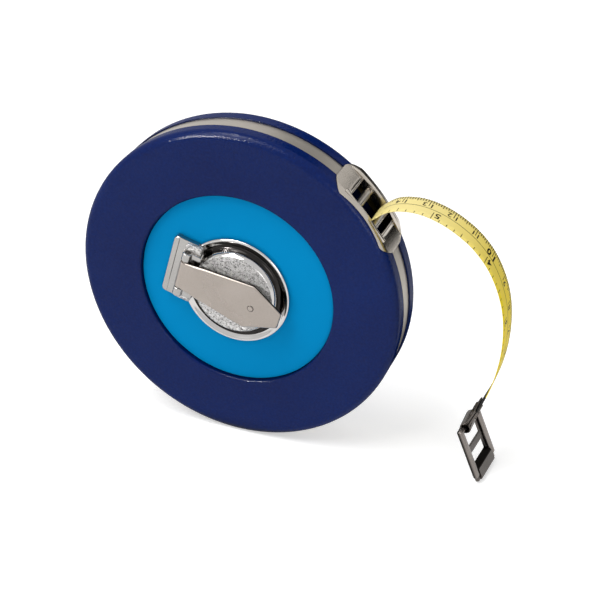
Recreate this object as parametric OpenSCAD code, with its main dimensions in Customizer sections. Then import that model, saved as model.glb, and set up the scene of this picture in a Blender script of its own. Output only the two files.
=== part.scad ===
// Closed-case surveyor tape reel: two moulded shells with a metal rim band, a roller mouth,
// a wound steel tape with an end ring, and a cast winding hub with a fold-away crank.
// Millimetres. The reel turns about Y, its front faces -Y, its flat back lies on Y = 0, +Z is up.

/* [Case] */
// Outside diameter of the case
case_d = 133; // [128:1:150]
// Thickness of the case over both shells
case_t = 22; // [21:0.5:28]
// Radius of the rounded outer edges
edge_r = 3.2; // [2:0.1:4]
// Wall of the rim
rim_wall = 2.8; // [2.6:0.1:4]
// Wall of the front face outside the label
front_wall = 2.2; // [1.6:0.1:3]
// Wall of the front face under the label
label_wall = 1.2; // [1:0.1:1.6]
// Wall of the back face
back_wall = 2; // [1.6:0.1:2.6]
// Diameter of the label recess
recess_d = 81; // [76:1:90]
// Depth of the label surface below the front face
recess_depth = 2.2; // [1.6:0.1:2.4]
// Radius of the recess lip
recess_lip_r = 1; // [0.4:0.1:1.5]
// Thickness of the label
label_t = 0.3; // [0.2:0.05:0.5]

/* [Rim band] */
// Width of the metal band
band_w = 7.8; // [6:0.2:10]
// Thickness of the band
band_t = 0.7; // [0.5:0.1:0.9]
// Depth of the band's face below the rim
band_sink = 0.6; // [0.3:0.1:0.8]

/* [Case screws] */
// Number of screws that close the case
screw_count = 4; // [3:1:4]
// Distance of the screws in from the rim
screw_inset = 7; // [6.5:0.1:8]
// Direction of the first screw
screw_start = 75; // [68:1:80]
// Diameter of the screw thread
screw_d = 2.5; // [2:0.1:3]
// Diameter of the screw head
screw_head_d = 5; // [4:0.1:5.4]
// Height of the screw head
screw_head_h = 1.8; // [1.4:0.1:2.4]
// Diameter of the moulded screw pillars
pillar_d = 5.8; // [5:0.1:6]

/* [Mouth] */
// Direction of the mouth's middle, up from the right
mouth_angle = 38.8; // [36:0.2:42]
// Length of the mouth plate along the rim
plate_l = 35.6; // [32:0.2:40]
// Length over which the plate has its full width
plate_full_l = 25; // [24:0.5:28]
// Greatest width of the mouth plate
plate_w = 20.6; // [20:0.1:20.8]
// Width of the mouth plate at its waist
plate_waist_w = 19.4; // [18.4:0.1:20]
// Thickness of the mouth plate
plate_t = 0.3; // [0.2:0.05:0.5]
// Length of the window along the rim
window_l = 18.6; // [16:0.2:20]
// Room beside the tape in the window
tape_room = 0.75; // [0.45:0.05:1]
// Thickness of the cheeks inside the mouth
cheek_t = 1; // [0.8:0.1:1.2]
// Depth of the cheeks below the rim
cheek_depth = 5.4; // [4.6:0.1:6]
// Diameter of the guide rollers
roller_d = 3.2; // [2.6:0.1:3.4]
// Diameter of the roller pins
roller_pin_d = 1.6; // [1.2:0.1:1.8]
// Distance between the two roller pins
roller_pitch = 9.9; // [9:0.1:11]
// Depth of the roller pins below the rim
roller_sink = 2; // [1.6:0.1:2.2]
// How far the rollers sit below the mouth's middle
roller_set = 0.8; // [0:0.1:1]

/* [Tape] */
// Width of the tape
tape_w = 12.5; // [10:0.5:12.8]
// Thickness of the tape
tape_t = 0.25; // [0.2:0.01:0.27]
// Room between the wound tape and the rim's wall, which leaves 30 m of tape
winding_room = 10.1; // [9.8:0.1:20]
// Direction of the tape as it leaves the mouth
exit_angle = 38; // [30:1:46]
// Radius of the tape's bend inside the mouth
exit_bend_r = 8; // [6:0.5:9]

/* [End ring] */
// Width of the ring
ring_w = 18.6; // [18:0.1:19.4]
// Length of the ring below its hinge bar
ring_l = 22.5; // [21:0.1:23]
// Lean of the ring from the vertical
ring_lean = 22; // [20:1:40]
// Skew of the ring in the clip's loose loop
ring_skew = 6; // [0:0.5:6]
// Width of the ring's sides, rail and ledge together
ring_side = 3.8; // [3.6:0.1:4]
// Width of the ring's raised side rails
ring_rail = 2.4; // [2:0.1:2.6]
// Width of the ring's cross bar
ring_bar = 3; // [2.4:0.1:3.2]
// Thickness of the ring's rails
ring_t = 2.2; // [2:0.1:2.6]
// Thickness of the ledges and cross bar between the rails
ring_web_t = 0.9; // [0.7:0.05:1.2]
// Distance from the hinge bar to the cross bar's middle
cross_at = 9.6; // [9:0.1:10]
// Width of the ring's foot
foot_w = 6.6; // [6:0.1:7]
// Width of the hook on the foot
hook_w = 3.8; // [3:0.1:4.4]
// Height of the hook above the rails
hook_h = 0.4; // [0.2:0.1:0.8]
// Diameter of the hinge bar
hinge_bar_d = 1.9; // [1.6:0.1:2.1]
// Width of the tape's end clip
clip_w = 10.2; // [8:0.1:10.4]
// Length of the end clip from the hinge
clip_l = 9.5; // [9:0.5:12]
// Thickness of each clip leaf
clip_leaf_t = 0.7; // [0.5:0.05:0.9]
// Diameter of the clip rivets
clip_rivet_d = 1.8; // [1.4:0.1:2]
// Distance between the clip rivets
clip_rivet_pitch = 5; // [4:0.1:5.4]

/* [Drum] */
// Diameter of the drum's core
drum_d = 44; // [43:0.5:46]
// Wall of the core
drum_wall = 2; // [1.6:0.1:2.2]
// Diameter of the drum's flanges
drum_flange_d = 54; // [50:1:70]
// Thickness of the flanges
drum_flange_t = 0.6; // [0.4:0.05:0.65]
// Thickness of the web inside the core
web_t = 3; // [2:0.1:3.5]
// Height of the web's rear face above the back
web_z = 7.5; // [7:0.1:8.5]
// Diameter of the spindle's journal
spindle_d = 8; // [6:0.5:9]
// Diameter of the spindle's shoulder
shoulder_d = 12; // [10:0.5:13]
// Wall of the bushes
bush_wall = 2; // [1.6:0.1:2.2]
// Height of the rear bush
rear_bush_h = 3.6; // [3:0.1:3.8]

/* [Winding hub] */
// Direction of the folded crank, up from the right
crank_angle = -16.2; // [-90:0.1:90]
// Diameter of the hub's flange
hub_d = 45; // [43:0.5:48]
// Height of the flange's lip above the label
hub_lip_h = 1.7; // [1.5:0.1:2.2]
// Diameter of the hub's raised boss
boss_d = 34.2; // [33:0.2:36]
// Height of the boss above the label
boss_h = 4; // [3.8:0.1:4.6]
// Diameter of the neck that runs in the front bush
neck_d = 34; // [33:0.2:34.4]
// Wall of the neck
neck_wall = 2.4; // [2:0.1:3]
// Number of screws that hold the hub to the drum
hub_screw_count = 3; // [2:1:3]
// Diameter of the hub's screw circle
hub_screw_circle_d = 23; // [22:0.5:23]

/* [Crank] */
// Distance from the reel's axis to the crank's hinge pin
hinge_x = 21.2; // [20.8:0.1:22]
// Diameter of the hinge pin
hinge_pin_d = 2.4; // [1.8:0.1:2.6]
// Diameter of the crank's hinge barrel
barrel_d = 4; // [3.6:0.1:4.4]
// Width of the hinge lug
lug_w = 26.5; // [25:0.5:30]
// Width of each ear on the lug
ear_w = 3.6; // [3:0.1:4]
// Thickness of the crank arm
arm_t = 1.5; // [1.2:0.1:1.8]
// Height of the arm above the boss
arm_gap = 2.1; // [1.8:0.1:2.4]
// Width of the arm at its hinge
arm_hinge_w = 11.8; // [11:0.1:12.2]
// Width of the arm at its neck
arm_neck_w = 14.8; // [13.6:0.1:15.4]
// Width of the arm where it is widest
arm_wide_w = 19.8; // [18:0.2:21]
// Width of the arm's tip
arm_tip_w = 6.8; // [5:0.1:9]
// Distance from the hinge pin to the arm's neck
arm_neck_x = 9; // [8:0.2:11]
// Distance from the hinge pin to the arm's widest place
arm_wide_x = 29.4; // [27:0.2:31]
// Distance from the hinge pin to the arm's tip
arm_tip_x = 42.6; // [40:0.2:43]
// Distance from the hinge pin to the knob
knob_x = 30.5; // [30:0.1:31]
// Diameter of the winding knob
knob_d = 9; // [8:0.1:9.2]
// Length of the winding knob
knob_l = 9.3; // [7:0.1:9.4]
// Diameter of the knob's rivet
knob_rivet_d = 3; // [2.4:0.1:3.4]

/* [Fits] */
// Running clearance of a journal, on the radius
run_gap = 0.05; // [0.02:0.01:0.09]
// Clearance of a screw in its hole, on the radius
screw_gap = 0.05; // [0.02:0.01:0.1]
// Gap between pieces that move past each other
move_gap = 0.4; // [0.35:0.01:0.45]
// Gap under pieces that are seated on the case
seat_gap = 0.05; // [0.02:0.01:0.1]

/* [Hidden] */
$fn = 96;

// Colours of the real finishes
navy = [0.11, 0.15, 0.36];
sky_blue = [0.02, 0.52, 0.77];
nickel = [0.75, 0.72, 0.67];
chrome = [0.82, 0.82, 0.82];
gunmetal = [0.33, 0.31, 0.29];
tape_yellow = [0.93, 0.87, 0.38];
bronze = [0.7, 0.55, 0.3];
black = [0.08, 0.08, 0.09];

// Heights are measured from the flat back towards the front
case_r = case_d / 2;
mid_z = case_t / 2;
label_z = case_t - recess_depth;
floor_z = label_z - label_t;
label_inner_z = floor_z - label_wall;
front_inner_z = case_t - front_wall;
rim_inner_r = case_r - rim_wall;
groove_r = case_r - band_sink - band_t - seat_gap;
recess_r = recess_d / 2;
cut = 1;

// Case screws and their pillars
screw_r = screw_d / 2;
head_r = screw_head_d / 2;
pillar_r = pillar_d / 2;
head_sink = 0.4;
counterbore_z = screw_head_h + head_sink;
thread_reach = 5;
thread_top_z = mid_z + thread_reach;

// Bushes, neck and drum
neck_r = neck_d / 2;
front_bush_r = neck_r + run_gap + bush_wall;
bush_rim_w = 1.4;
bush_rim_t = 0.35;
bush_inside = 1.2;
hub_z = floor_z + bush_rim_t + move_gap;
drum_r = drum_d / 2;
winding_gap = 0.1;
web_top_z = web_z + web_t;
winding_r = rim_inner_r - winding_room;
spindle_r = spindle_d / 2;
shoulder_t = 1;
rear_bush_r = spindle_r + run_gap + bush_wall;
rear_boss_wall = 2.6;
rear_rim_t = 0.6;
rear_boss_z = back_wall + rear_bush_h;
spindle_end_gap = 0.6;

// Mouth: the tape wraps over the lower roller, so its path starts from that roller
roller_r = roller_d / 2;
roller_track_r = case_r - roller_sink;
roller_half_angle = asin(roller_pitch / 2 / roller_track_r);
window_w = tape_w + 2 * tape_room;
cheek_inset = 0.2;
roller_middle_angle = mouth_angle - asin(roller_set / roller_track_r);
lower_angle = roller_middle_angle - roller_half_angle;
upper_angle = roller_middle_angle + roller_half_angle;
cheek_z = window_w / 2 + cheek_inset;
notch_w = 2 * (cheek_z + cheek_t + seat_gap);
notch_inset = 0.5;
notch_l = plate_full_l - 2 * notch_inset;
plate_reach = seat_gap + plate_t;
plate_taper_l = 1.8;
plate_taper_w = 2.2;

// Inner end of the tape: a straight run from the winding, then the bend over the lower roller
wrap_r = roller_r + move_gap + tape_t / 2;
lead_r = winding_r + move_gap + tape_t / 2;
roller_at = roller_track_r * [cos(lower_angle), sin(lower_angle)];
bend_out = exit_angle + 90;
bend_shift = -25;
bend_at = roller_at + (exit_bend_r - wrap_r) * [cos(bend_shift), sin(bend_shift)];
bend_dist = norm(bend_at);
lead_angle = atan2(bend_at[1], bend_at[0]) - acos((lead_r + exit_bend_r) / bend_dist);
bend_in = lead_angle + 180;
bend_steps = 10;
lead_path = concat([lead_r * [cos(lead_angle), sin(lead_angle)]],
    [for (i = [0:bend_steps])
        let (a = bend_in + (bend_out - bend_in) * i / bend_steps)
        bend_at + exit_bend_r * [cos(a), sin(a)]]);
mouth_at = lead_path[len(lead_path) - 1];
mouth_dir = [cos(exit_angle), sin(exit_angle)];

// Free tape: its route from the mouth to the end clip, as right and up from the reel's axis
free_route = [[58.5, 43], [63, 44.6], [68.5, 45.1], [74, 44.4], [80, 42.4], [86, 39.2],
    [92, 34.6], [97.4, 28.2], [101.5, 20.3], [104.2, 11.5], [105.3, 2], [105.1, -7.5],
    [103.8, -16.5], [101.6, -25], [98.9, -32.2]];
hinge_at = [93.5, -44.4];
route_step = 4;
route_lead = 4;

// End clip and ring
hinge_bar_r = hinge_bar_d / 2;
loop_in_r = hinge_bar_r + run_gap + clip_w / 2 * tan(ring_skew);
loop_out_r = loop_in_r + clip_leaf_t;
clip_from = free_route[len(free_route) - 1];
clip_dir = (clip_from - hinge_at) / norm(clip_from - hinge_at);
clip_angle = atan2(clip_dir[1], clip_dir[0]);
tape_end_gap = 1.2;
tape_end_x = loop_out_r + tape_end_gap;
clip_slot_t = tape_t + 2 * seat_gap;
clip_rivet_x = (tape_end_x + clip_l) / 2;
clip_rivet_r = clip_rivet_d / 2;
clip_head_over = 0.7;
clip_head_r = clip_rivet_r + clip_head_over;
clip_head_t = 0.5;
clip_half_t = clip_slot_t / 2 + clip_leaf_t;
clip_trim = 0.2;
ring_inner_w = ring_w - 2 * ring_side;
ring_bed_w = ring_w - 2 * ring_rail;
ring_corner_r = 2.4;
ring_top = ring_bar / 2;

// Hub and crank, along the folded crank's own direction
hub_r = hub_d / 2;
boss_r = boss_d / 2;
boss_z = label_z + boss_h;
boss_edge = 0.8;
lip_z = label_z + hub_lip_h;
trough_wall = 0.6;
trough_z = hub_z + trough_wall;
cavity_rise = 1.8;
cavity_z = hub_z + cavity_rise;
barrel_r = barrel_d / 2;
arm_z = boss_z + arm_gap;
arm_top_z = arm_z + arm_t;
pin_z = arm_top_z - barrel_r;
stop_z = pin_z - barrel_r - move_gap;
ear_gap = 0.6;
ear_in = arm_hinge_w / 2 + ear_gap;
ear_out = ear_in + ear_w;
pin_l = 2 * ear_out;
lug_half = lug_w / 2;
shelf_rise = 1;
shelf_z = stop_z + shelf_rise;
ear_back = 0.7;
ear_back_x = -hinge_x + barrel_r + ear_back;
lug_reach = 5.7;
lug_out_x = -hinge_x - barrel_r - lug_reach;
lug_root_x = -boss_r + boss_edge;
lug_corner_r = 2;
knob_at = knob_x - hinge_x;
knob_r = knob_d / 2;
knob_top_z = arm_z - move_gap;
knob_end_z = knob_top_z - knob_l;
swing_room = sqrt(pow(knob_x + knob_r, 2) + pow(pin_z - knob_end_z, 2)) - knob_x - knob_r;
pocket_gap = 0.4;
pocket_r = knob_r + pocket_gap + swing_room / 2;
pocket_x = knob_at + swing_room / 2;
pocket_end_gap = 0.8;
pocket_z = knob_end_z - pocket_end_gap;
pocket_wall = 1.3;
pocket_floor = 1;
hub_screw_r = hub_screw_circle_d / 2;
hub_screw_short = 2;
hub_screw_top_z = cavity_z - hub_screw_short;
hub_screw_head_h = 1.4;
hub_pillar_wall = 1.5;
hub_pillar_r = screw_r + hub_pillar_wall;
rivet_r = knob_rivet_d / 2;
rivet_head_over = 0.9;
rivet_head_r = rivet_r + rivet_head_over;
rivet_head_t = 1;
rivet_dome_t = 0.35;

// Turns a shape drawn over the reel's axis so that its height runs from the back to the front
module on_axis() {
    rotate([90, 0, 0])
        children();
}

// The same, turned to the folded crank's direction
module on_crank() {
    on_axis()
        rotate([0, 0, crank_angle])
            children();
}

// A cylinder or ring between two heights
module disc(r, z0, z1) {
    translate([0, 0, z0])
        cylinder(r = r, h = z1 - z0);
}

module ring(r_out, r_in, z0, z1) {
    difference() {
        disc(r_out, z0, z1);
        disc(r_in, z0 - cut, z1 + cut);
    }
}

// Places children at the case screws or at the hub screws
module at_case_screws() {
    for (i = [0:screw_count - 1])
        rotate([0, 0, screw_start + 360 / 4 * i])
            translate([case_r - screw_inset, 0, 0])
                children();
}

module at_hub_screws() {
    for (i = [1:hub_screw_count])
        rotate([0, 0, 90 * i])
            translate([hub_screw_r, 0, 0])
                children();
}

// Half section of the closed case, with rounded edges grown by a margin
module case_section(margin) {
    square_r = case_r - edge_r;
    edge = edge_r + margin;
    translate([0, -margin])
        square([square_r, case_t + 2 * margin]);
    translate([0, edge_r])
        square([case_r + margin, case_t - 2 * edge_r]);
    for (z = [edge_r, case_t - edge_r])
        translate([square_r, z])
            circle(r = edge);
}

// Straight block along the mouth's direction, centred on the tape
module at_mouth(length, width, r0, r1) {
    rotate([0, 0, mouth_angle])
        translate([r0, -length / 2, mid_z - width / 2])
            cube([r1 - r0, length, width]);
}

// Notch in the rim that takes the mouth's cheeks
module mouth_notch() {
    at_mouth(notch_l, notch_w, rim_inner_r - cheek_depth, case_r + cut);
}

module front_cover() {
    color(navy)
        on_axis()
            difference() {
                union() {
                    rotate_extrude()
                        difference() {
                            case_section(0);
                            square([case_r, mid_z]);
                            translate([groove_r, mid_z - cut])
                                square([rim_wall, band_w / 2 + cut]);
                            translate([0, floor_z])
                                square([recess_r, recess_depth + label_t + cut]);
                            translate([recess_r, case_t - recess_lip_r])
                                difference() {
                                    square([recess_lip_r, recess_lip_r + cut]);
                                    translate([recess_lip_r, 0])
                                        circle(r = recess_lip_r);
                                }
                            square([recess_r + front_wall, label_inner_z]);
                            translate([recess_r + front_wall, 0])
                                square([rim_inner_r - recess_r - front_wall, front_inner_z]);
                            square([front_bush_r, case_t]);
                        }
                    at_case_screws()
                        disc(pillar_r, mid_z, front_inner_z);
                }
                at_case_screws()
                    disc(screw_r + screw_gap, mid_z - cut, thread_top_z + screw_gap);
                mouth_notch();
            }
}

module rear_cover() {
    color(navy)
        on_axis()
            difference() {
                union() {
                    rotate_extrude()
                        difference() {
                            case_section(0);
                            translate([0, mid_z])
                                square([case_r + cut, case_t]);
                            translate([groove_r, mid_z - band_w / 2])
                                square([rim_wall, band_w]);
                            translate([0, back_wall])
                                square([rim_inner_r, case_t]);
                        }
                    at_case_screws()
                        disc(pillar_r, back_wall / 2, mid_z);
                    disc(rear_bush_r + rear_boss_wall, back_wall / 2, rear_boss_z);
                }
                at_case_screws() {
                    disc(screw_r + screw_gap, -cut, case_t);
                    disc(head_r + screw_gap, -cut, counterbore_z);
                }
                disc(rear_bush_r, back_wall, case_t);
                mouth_notch();
            }
}

// Band of thin metal in the groove of both shells, open under the mouth plate
module rim_band() {
    band_open = (notch_l + plate_l) / 2;
    color(nickel)
        on_axis()
            difference() {
                ring(groove_r + seat_gap + band_t, groove_r + seat_gap,
                    mid_z - band_w / 2 + seat_gap, mid_z + band_w / 2 - seat_gap);
                at_mouth(band_open, band_w + 2 * cut, case_r / 2, case_d);
            }
}

module front_label() {
    color(sky_blue)
        on_axis()
            ring(recess_r - move_gap / 2, front_bush_r + bush_rim_w + move_gap, floor_z, label_z);
}

// Screws from the back, threaded into the front shell's pillars
module case_screws() {
    slot_w = 0.8;
    slot_depth = 0.7;
    color(chrome)
        on_axis()
            at_case_screws()
                difference() {
                    union() {
                        disc(screw_r, head_sink, thread_top_z);
                        disc(head_r, head_sink, counterbore_z);
                    }
                    translate([-head_r - cut, -slot_w / 2, 0])
                        cube([screw_head_d + 2 * cut, slot_w, head_sink + slot_depth]);
                }
}

// Outline of the mouth plate, seen along the mouth's direction
module plate_outline() {
    end = [plate_l / 2, band_w / 2];
    shoulder = [plate_l / 2 - plate_taper_l, plate_w / 2 - plate_taper_w];
    full = [plate_full_l / 2, plate_w / 2];
    right = [[0, plate_waist_w / 2], full, shoulder, end];
    n = len(right) - 1;
    polygon(concat(right, [for (i = [n:-1:0]) [right[i][0], -right[i][1]]],
        [for (i = [1:n]) -right[i]], [for (i = [n:-1:1]) [-right[i][0], right[i][1]]]));
}

// Metal mouth: a curved plate with a window, and two cheeks that hold the roller pins
module mouth_plate() {
    color(nickel)
        on_axis()
            difference() {
                union() {
                    intersection() {
                        rotate_extrude()
                            difference() {
                                case_section(plate_reach);
                                case_section(seat_gap);
                            }
                        rotate([0, 0, mouth_angle])
                            translate([case_r / 2, 0, mid_z])
                                rotate([90, 0, 90])
                                    linear_extrude(height = case_r)
                                        plate_outline();
                    }
                    intersection() {
                        disc(case_r + seat_gap + plate_t / 2, 0, case_t);
                        for (side = [-1, 1])
                            translate([0, 0, side * (cheek_z + cheek_t / 2)])
                                at_mouth(notch_l - 2 * seat_gap, cheek_t,
                                    case_r - cheek_depth, case_r + cut);
                    }
                }
                at_mouth(window_l, window_w, case_r / 2, case_d);
                at_rollers()
                    disc(roller_pin_d / 2, 0, case_t);
            }
}

module at_rollers(which = [0, 1]) {
    for (i = which)
        rotate([0, 0, i == 0 ? lower_angle : upper_angle])
            translate([roller_track_r, 0, 0])
                children();
}

module roller_pins() {
    color(gunmetal)
        on_axis()
            at_rollers()
                disc(roller_pin_d / 2, mid_z - cheek_z - cheek_t, mid_z + cheek_z + cheek_t);
}

module guide_roller(which) {
    half = cheek_z - move_gap;
    color(nickel)
        on_axis()
            at_rollers([which])
                ring(roller_r, roller_pin_d / 2 + run_gap, mid_z - half, mid_z + half);
}

module upper_roller() {
    guide_roller(1);
}

module lower_roller() {
    guide_roller(0);
}

// Bearing ring for the hub's neck, dropped into the front shell from outside
module front_bush() {
    color(bronze)
        on_axis()
            difference() {
                union() {
                    disc(front_bush_r, label_inner_z - bush_inside, floor_z + bush_rim_t);
                    disc(front_bush_r + bush_rim_w, floor_z, floor_z + bush_rim_t);
                }
                disc(neck_r + run_gap, 0, case_t);
            }
}

// Flanged bush for the spindle, pressed into the back shell's boss
module rear_bush() {
    color(bronze)
        on_axis()
            difference() {
                union() {
                    disc(rear_bush_r, back_wall, rear_boss_z);
                    disc(rear_bush_r + rear_boss_wall, rear_boss_z, rear_boss_z + rear_rim_t);
                }
                disc(spindle_r + run_gap, 0, case_t);
            }
}

// Core that carries the tape, with two flanges, and a web that takes the hub
module drum() {
    core_half = tape_w / 2 + winding_gap;
    rim_half = core_half + drum_flange_t;
    color(nickel)
        on_axis()
            difference() {
                union() {
                    ring(drum_r, drum_r - drum_wall, mid_z - rim_half, mid_z + rim_half);
                    for (z = [mid_z - rim_half, mid_z + core_half])
                        ring(drum_flange_d / 2, drum_r - drum_wall, z, z + drum_flange_t);
                    disc(drum_r - drum_wall / 2, web_z, web_top_z);
                }
                disc(spindle_r - shoulder_t, 0, case_t);
                rotate([0, 0, crank_angle])
                    at_hub_screws()
                        disc(screw_r + screw_gap, 0, case_t);
            }
}

// Steel journal in the drum's web, running in the rear bush
module spindle() {
    color(chrome)
        on_axis() {
            disc(spindle_r, back_wall + spindle_end_gap, web_z);
            disc(shoulder_d / 2, web_z - shoulder_t, web_z);
            disc(spindle_r - shoulder_t, web_z - cut / 2, web_top_z);
        }
}

// The wound length of tape, hidden in the case
module tape_winding() {
    color(tape_yellow)
        on_axis()
            ring(winding_r, drum_r + seat_gap, mid_z - tape_w / 2, mid_z + tape_w / 2);
}

// Point on a smooth curve through four points, between the two in the middle
function curve_at(a, b, c, d, t) =
    0.5 * (2 * b + (c - a) * t + (2 * a - 5 * b + 4 * c - d) * t * t
        + (3 * b - a - 3 * c + d) * t * t * t);

// Smooth path through a list of points whose first and last only give its directions
function smooth_path(p) = concat(
    [for (i = [1:len(p) - 3], k = [0:route_step - 1])
        curve_at(p[i - 1], p[i], p[i + 1], p[i + 2], k / route_step)],
    [p[len(p) - 2]]);

// Left-hand normal of a path at one of its points
function path_normal(p, i) =
    let (d = p[min(i + 1, len(p) - 1)] - p[max(i - 1, 0)])
    [-d[1], d[0]] / norm(d);

// Strip of tape along a path over the reel's axis
module strip(path) {
    n = len(path) - 1;
    translate([0, 0, mid_z - tape_w / 2])
        linear_extrude(height = tape_w)
            polygon(concat(
                [for (i = [0:n]) path[i] + path_normal(path, i) * tape_t / 2],
                [for (i = [n:-1:0]) path[i] - path_normal(path, i) * tape_t / 2]));
}

// Turns a shape along the end clip, which runs from the ring's hinge bar to the tape
module on_clip() {
    on_axis()
        translate([hinge_at[0], hinge_at[1], mid_z])
            rotate([0, 0, clip_angle])
                children();
}

module at_clip_rivets() {
    for (side = [-1, 1])
        translate([clip_rivet_x, 0, side * clip_rivet_pitch / 2])
            rotate([90, 0, 0])
                children();
}

module tape_lead() {
    color(tape_yellow)
        on_axis()
            strip(lead_path);
}

module tape_blade() {
    tape_end = hinge_at + clip_dir * tape_end_x;
    route = concat([mouth_at - route_lead * mouth_dir, mouth_at], free_route,
        [tape_end, tape_end - route_lead * clip_dir]);
    color(tape_yellow)
        difference() {
            on_axis()
                strip(smooth_path(route));
            on_clip() {
                at_clip_rivets()
                    disc(clip_rivet_r + screw_gap, -cut, cut);
                for (z = [-tape_w, clip_w / 2 - clip_trim])
                    translate([0, -cut, z])
                        cube([clip_l + clip_trim, 2 * cut, tape_w - clip_w / 2 + clip_trim]);
            }
        }
}

// Folded steel clip: a loop round the ring's hinge bar and two leaves on the tape
module tape_end_clip() {
    color(gunmetal)
        on_clip()
            difference() {
                translate([0, 0, -clip_w / 2])
                    linear_extrude(height = clip_w)
                        difference() {
                            union() {
                                circle(r = loop_out_r);
                                translate([0, -clip_half_t])
                                    square([clip_l, 2 * clip_half_t]);
                            }
                            circle(r = loop_in_r);
                            translate([tape_end_x - seat_gap, -clip_slot_t / 2])
                                square([clip_l, clip_slot_t]);
                        }
                at_clip_rivets()
                    disc(clip_rivet_r + screw_gap, -2 * clip_half_t, 2 * clip_half_t);
            }
}

module clip_rivets() {
    color(gunmetal)
        on_clip()
            at_clip_rivets() {
                disc(clip_rivet_r, -clip_half_t - clip_head_t, clip_half_t + clip_head_t);
                for (side = [-1, 1])
                    translate([0, 0, side * (clip_half_t + clip_head_t / 2)])
                        cylinder(r = clip_head_r, h = clip_head_t, center = true);
            }
}

// Flat rounded outline of the ring, hanging down from the hinge bar
module ring_outline() {
    inset_w = ring_w / 2 - ring_corner_r;
    cross_low = -cross_at - ring_bar / 2;
    foot_top = -ring_l + foot_w;
    difference() {
        union() {
            translate([-inset_w, -ring_l])
                square([2 * inset_w, ring_l + ring_top]);
            translate([-ring_w / 2, -ring_l + ring_corner_r])
                square([ring_w, ring_l + ring_top - 2 * ring_corner_r]);
            for (x = [-inset_w, inset_w], y = [-ring_l + ring_corner_r, ring_top - ring_corner_r])
                translate([x, y])
                    circle(r = ring_corner_r);
        }
        translate([-ring_inner_w / 2, cross_low + ring_bar])
            square([ring_inner_w, ring_l]);
        translate([-ring_inner_w / 2, foot_top])
            square([ring_inner_w, cross_low - foot_top]);
    }
}

// End ring: raised side rails, a thin web with a cross bar, a round hinge bar and a broad hooked foot
module end_ring() {
    foot_top = -ring_l + foot_w;
    hook_top = -ring_l + hook_w;
    face = ring_t / 2;
    web = ring_web_t - face;
    slope_at_web = foot_top + (hook_top - foot_top) * ring_web_t / ring_t;
    color(gunmetal)
        on_axis()
            translate([hinge_at[0], hinge_at[1], mid_z])
                rotate([0, 0, ring_lean])
                    rotate([0, 90 - ring_skew, 0]) {
                        difference() {
                            translate([0, 0, -face])
                                linear_extrude(height = ring_t)
                                    ring_outline();
                            rotate([90, 0, 90])
                                linear_extrude(height = ring_inner_w, center = true)
                                    polygon([[foot_top + cut, -face], [foot_top, -face], [hook_top, face],
                                        [hook_top, face + cut], [foot_top + cut, face + cut]]);
                            rotate([90, 0, 90])
                                linear_extrude(height = ring_bed_w, center = true)
                                    polygon([[ring_top + cut, web], [slope_at_web, web], [hook_top, face],
                                        [hook_top, face + cut], [ring_top + cut, face + cut]]);
                        }
                        rotate([0, 90, 0])
                            cylinder(r = hinge_bar_r, h = ring_bed_w + ring_rail, center = true);
                        translate([-ring_bed_w / 2, -ring_l, 0])
                            cube([ring_bed_w, hook_w, face + hook_h]);
                    }
}

// Section of the cast hub: flange with a lip, trough, boss, and a neck open at the back
module hub_section() {
    trough_w = hub_r - boss_r;
    trough_in_share = 0.35;
    trough_out_share = 0.55;
    trough_in_r = boss_r + trough_w * trough_in_share;
    trough_out_r = boss_r + trough_w * trough_out_share;
    lip_w = 0.9;
    lip_in_r = hub_r - lip_w;
    edge = 0.4;
    polygon([[0, cavity_z], [0, boss_z], [boss_r - boss_edge, boss_z], [boss_r, boss_z - boss_edge],
        [trough_in_r, trough_z], [trough_out_r, trough_z], [lip_in_r, lip_z],
        [hub_r - edge, lip_z], [hub_r, lip_z - edge], [hub_r, hub_z + edge],
        [hub_r - edge, hub_z], [neck_r, hub_z], [neck_r, web_top_z],
        [neck_r - neck_wall, web_top_z], [neck_r - neck_wall, cavity_z]]);
}

// Lug on the hub's side: a base with round corners, two raised shelves that run over the
// flange and carry the ears of the hinge pin, and a shoulder from each ear to the boss
module hub_lug() {
    inset = lug_half - lug_corner_r;
    ear_from = -hinge_x - barrel_r;
    shoulder_in = arm_neck_w / 2;
    for (side = [-1, 1])
        translate([lug_out_x + lug_corner_r, side * inset, 0])
            disc(lug_corner_r, hub_z, stop_z);
    translate([lug_out_x, -inset, hub_z])
        cube([lug_root_x - lug_out_x, 2 * inset, stop_z - hub_z]);
    translate([lug_out_x + lug_corner_r, -lug_half, hub_z])
        cube([ear_back_x - lug_out_x - lug_corner_r, lug_w, stop_z - hub_z]);
    for (side = [0, 1])
        mirror([0, side, 0]) {
            translate([ear_from, ear_in, hub_z])
                cube([ear_back_x - ear_from, ear_w, pin_z - hub_z]);
            along_pin(ear_in)
                cylinder(r = barrel_r, h = ear_w);
            translate([ear_from, ear_in, hub_z])
                cube([lug_root_x - ear_from, lug_half - ear_in, shelf_z - hub_z]);
            translate([ear_back_x - cut, shoulder_in, hub_z])
                cube([lug_root_x + cut - ear_back_x, ear_out - shoulder_in, pin_z - hub_z]);
        }
}

// Lays children along the hinge pin, from one place on it
module along_pin(y) {
    translate([-hinge_x, y, pin_z])
        rotate([-90, 0, 0])
            children();
}

// Cast hub outside the front shell, with a pocket for the folded knob
module crank_hub() {
    color(chrome)
        on_crank()
            difference() {
                union() {
                    rotate_extrude()
                        hub_section();
                    hub_lug();
                    translate([pocket_x, 0, 0])
                        disc(pocket_r + pocket_wall, pocket_z - pocket_floor, cavity_z + cut);
                    at_hub_screws()
                        disc(hub_pillar_r, web_top_z, cavity_z + cut);
                }
                translate([pocket_x, 0, 0])
                    disc(pocket_r, pocket_z, boss_z + cut);
                at_hub_screws()
                    disc(screw_r + screw_gap, web_top_z - cut, hub_screw_top_z + screw_gap);
                along_pin(-ear_out - cut)
                    cylinder(r = hinge_pin_d / 2, h = pin_l + 2 * cut);
            }
}

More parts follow.
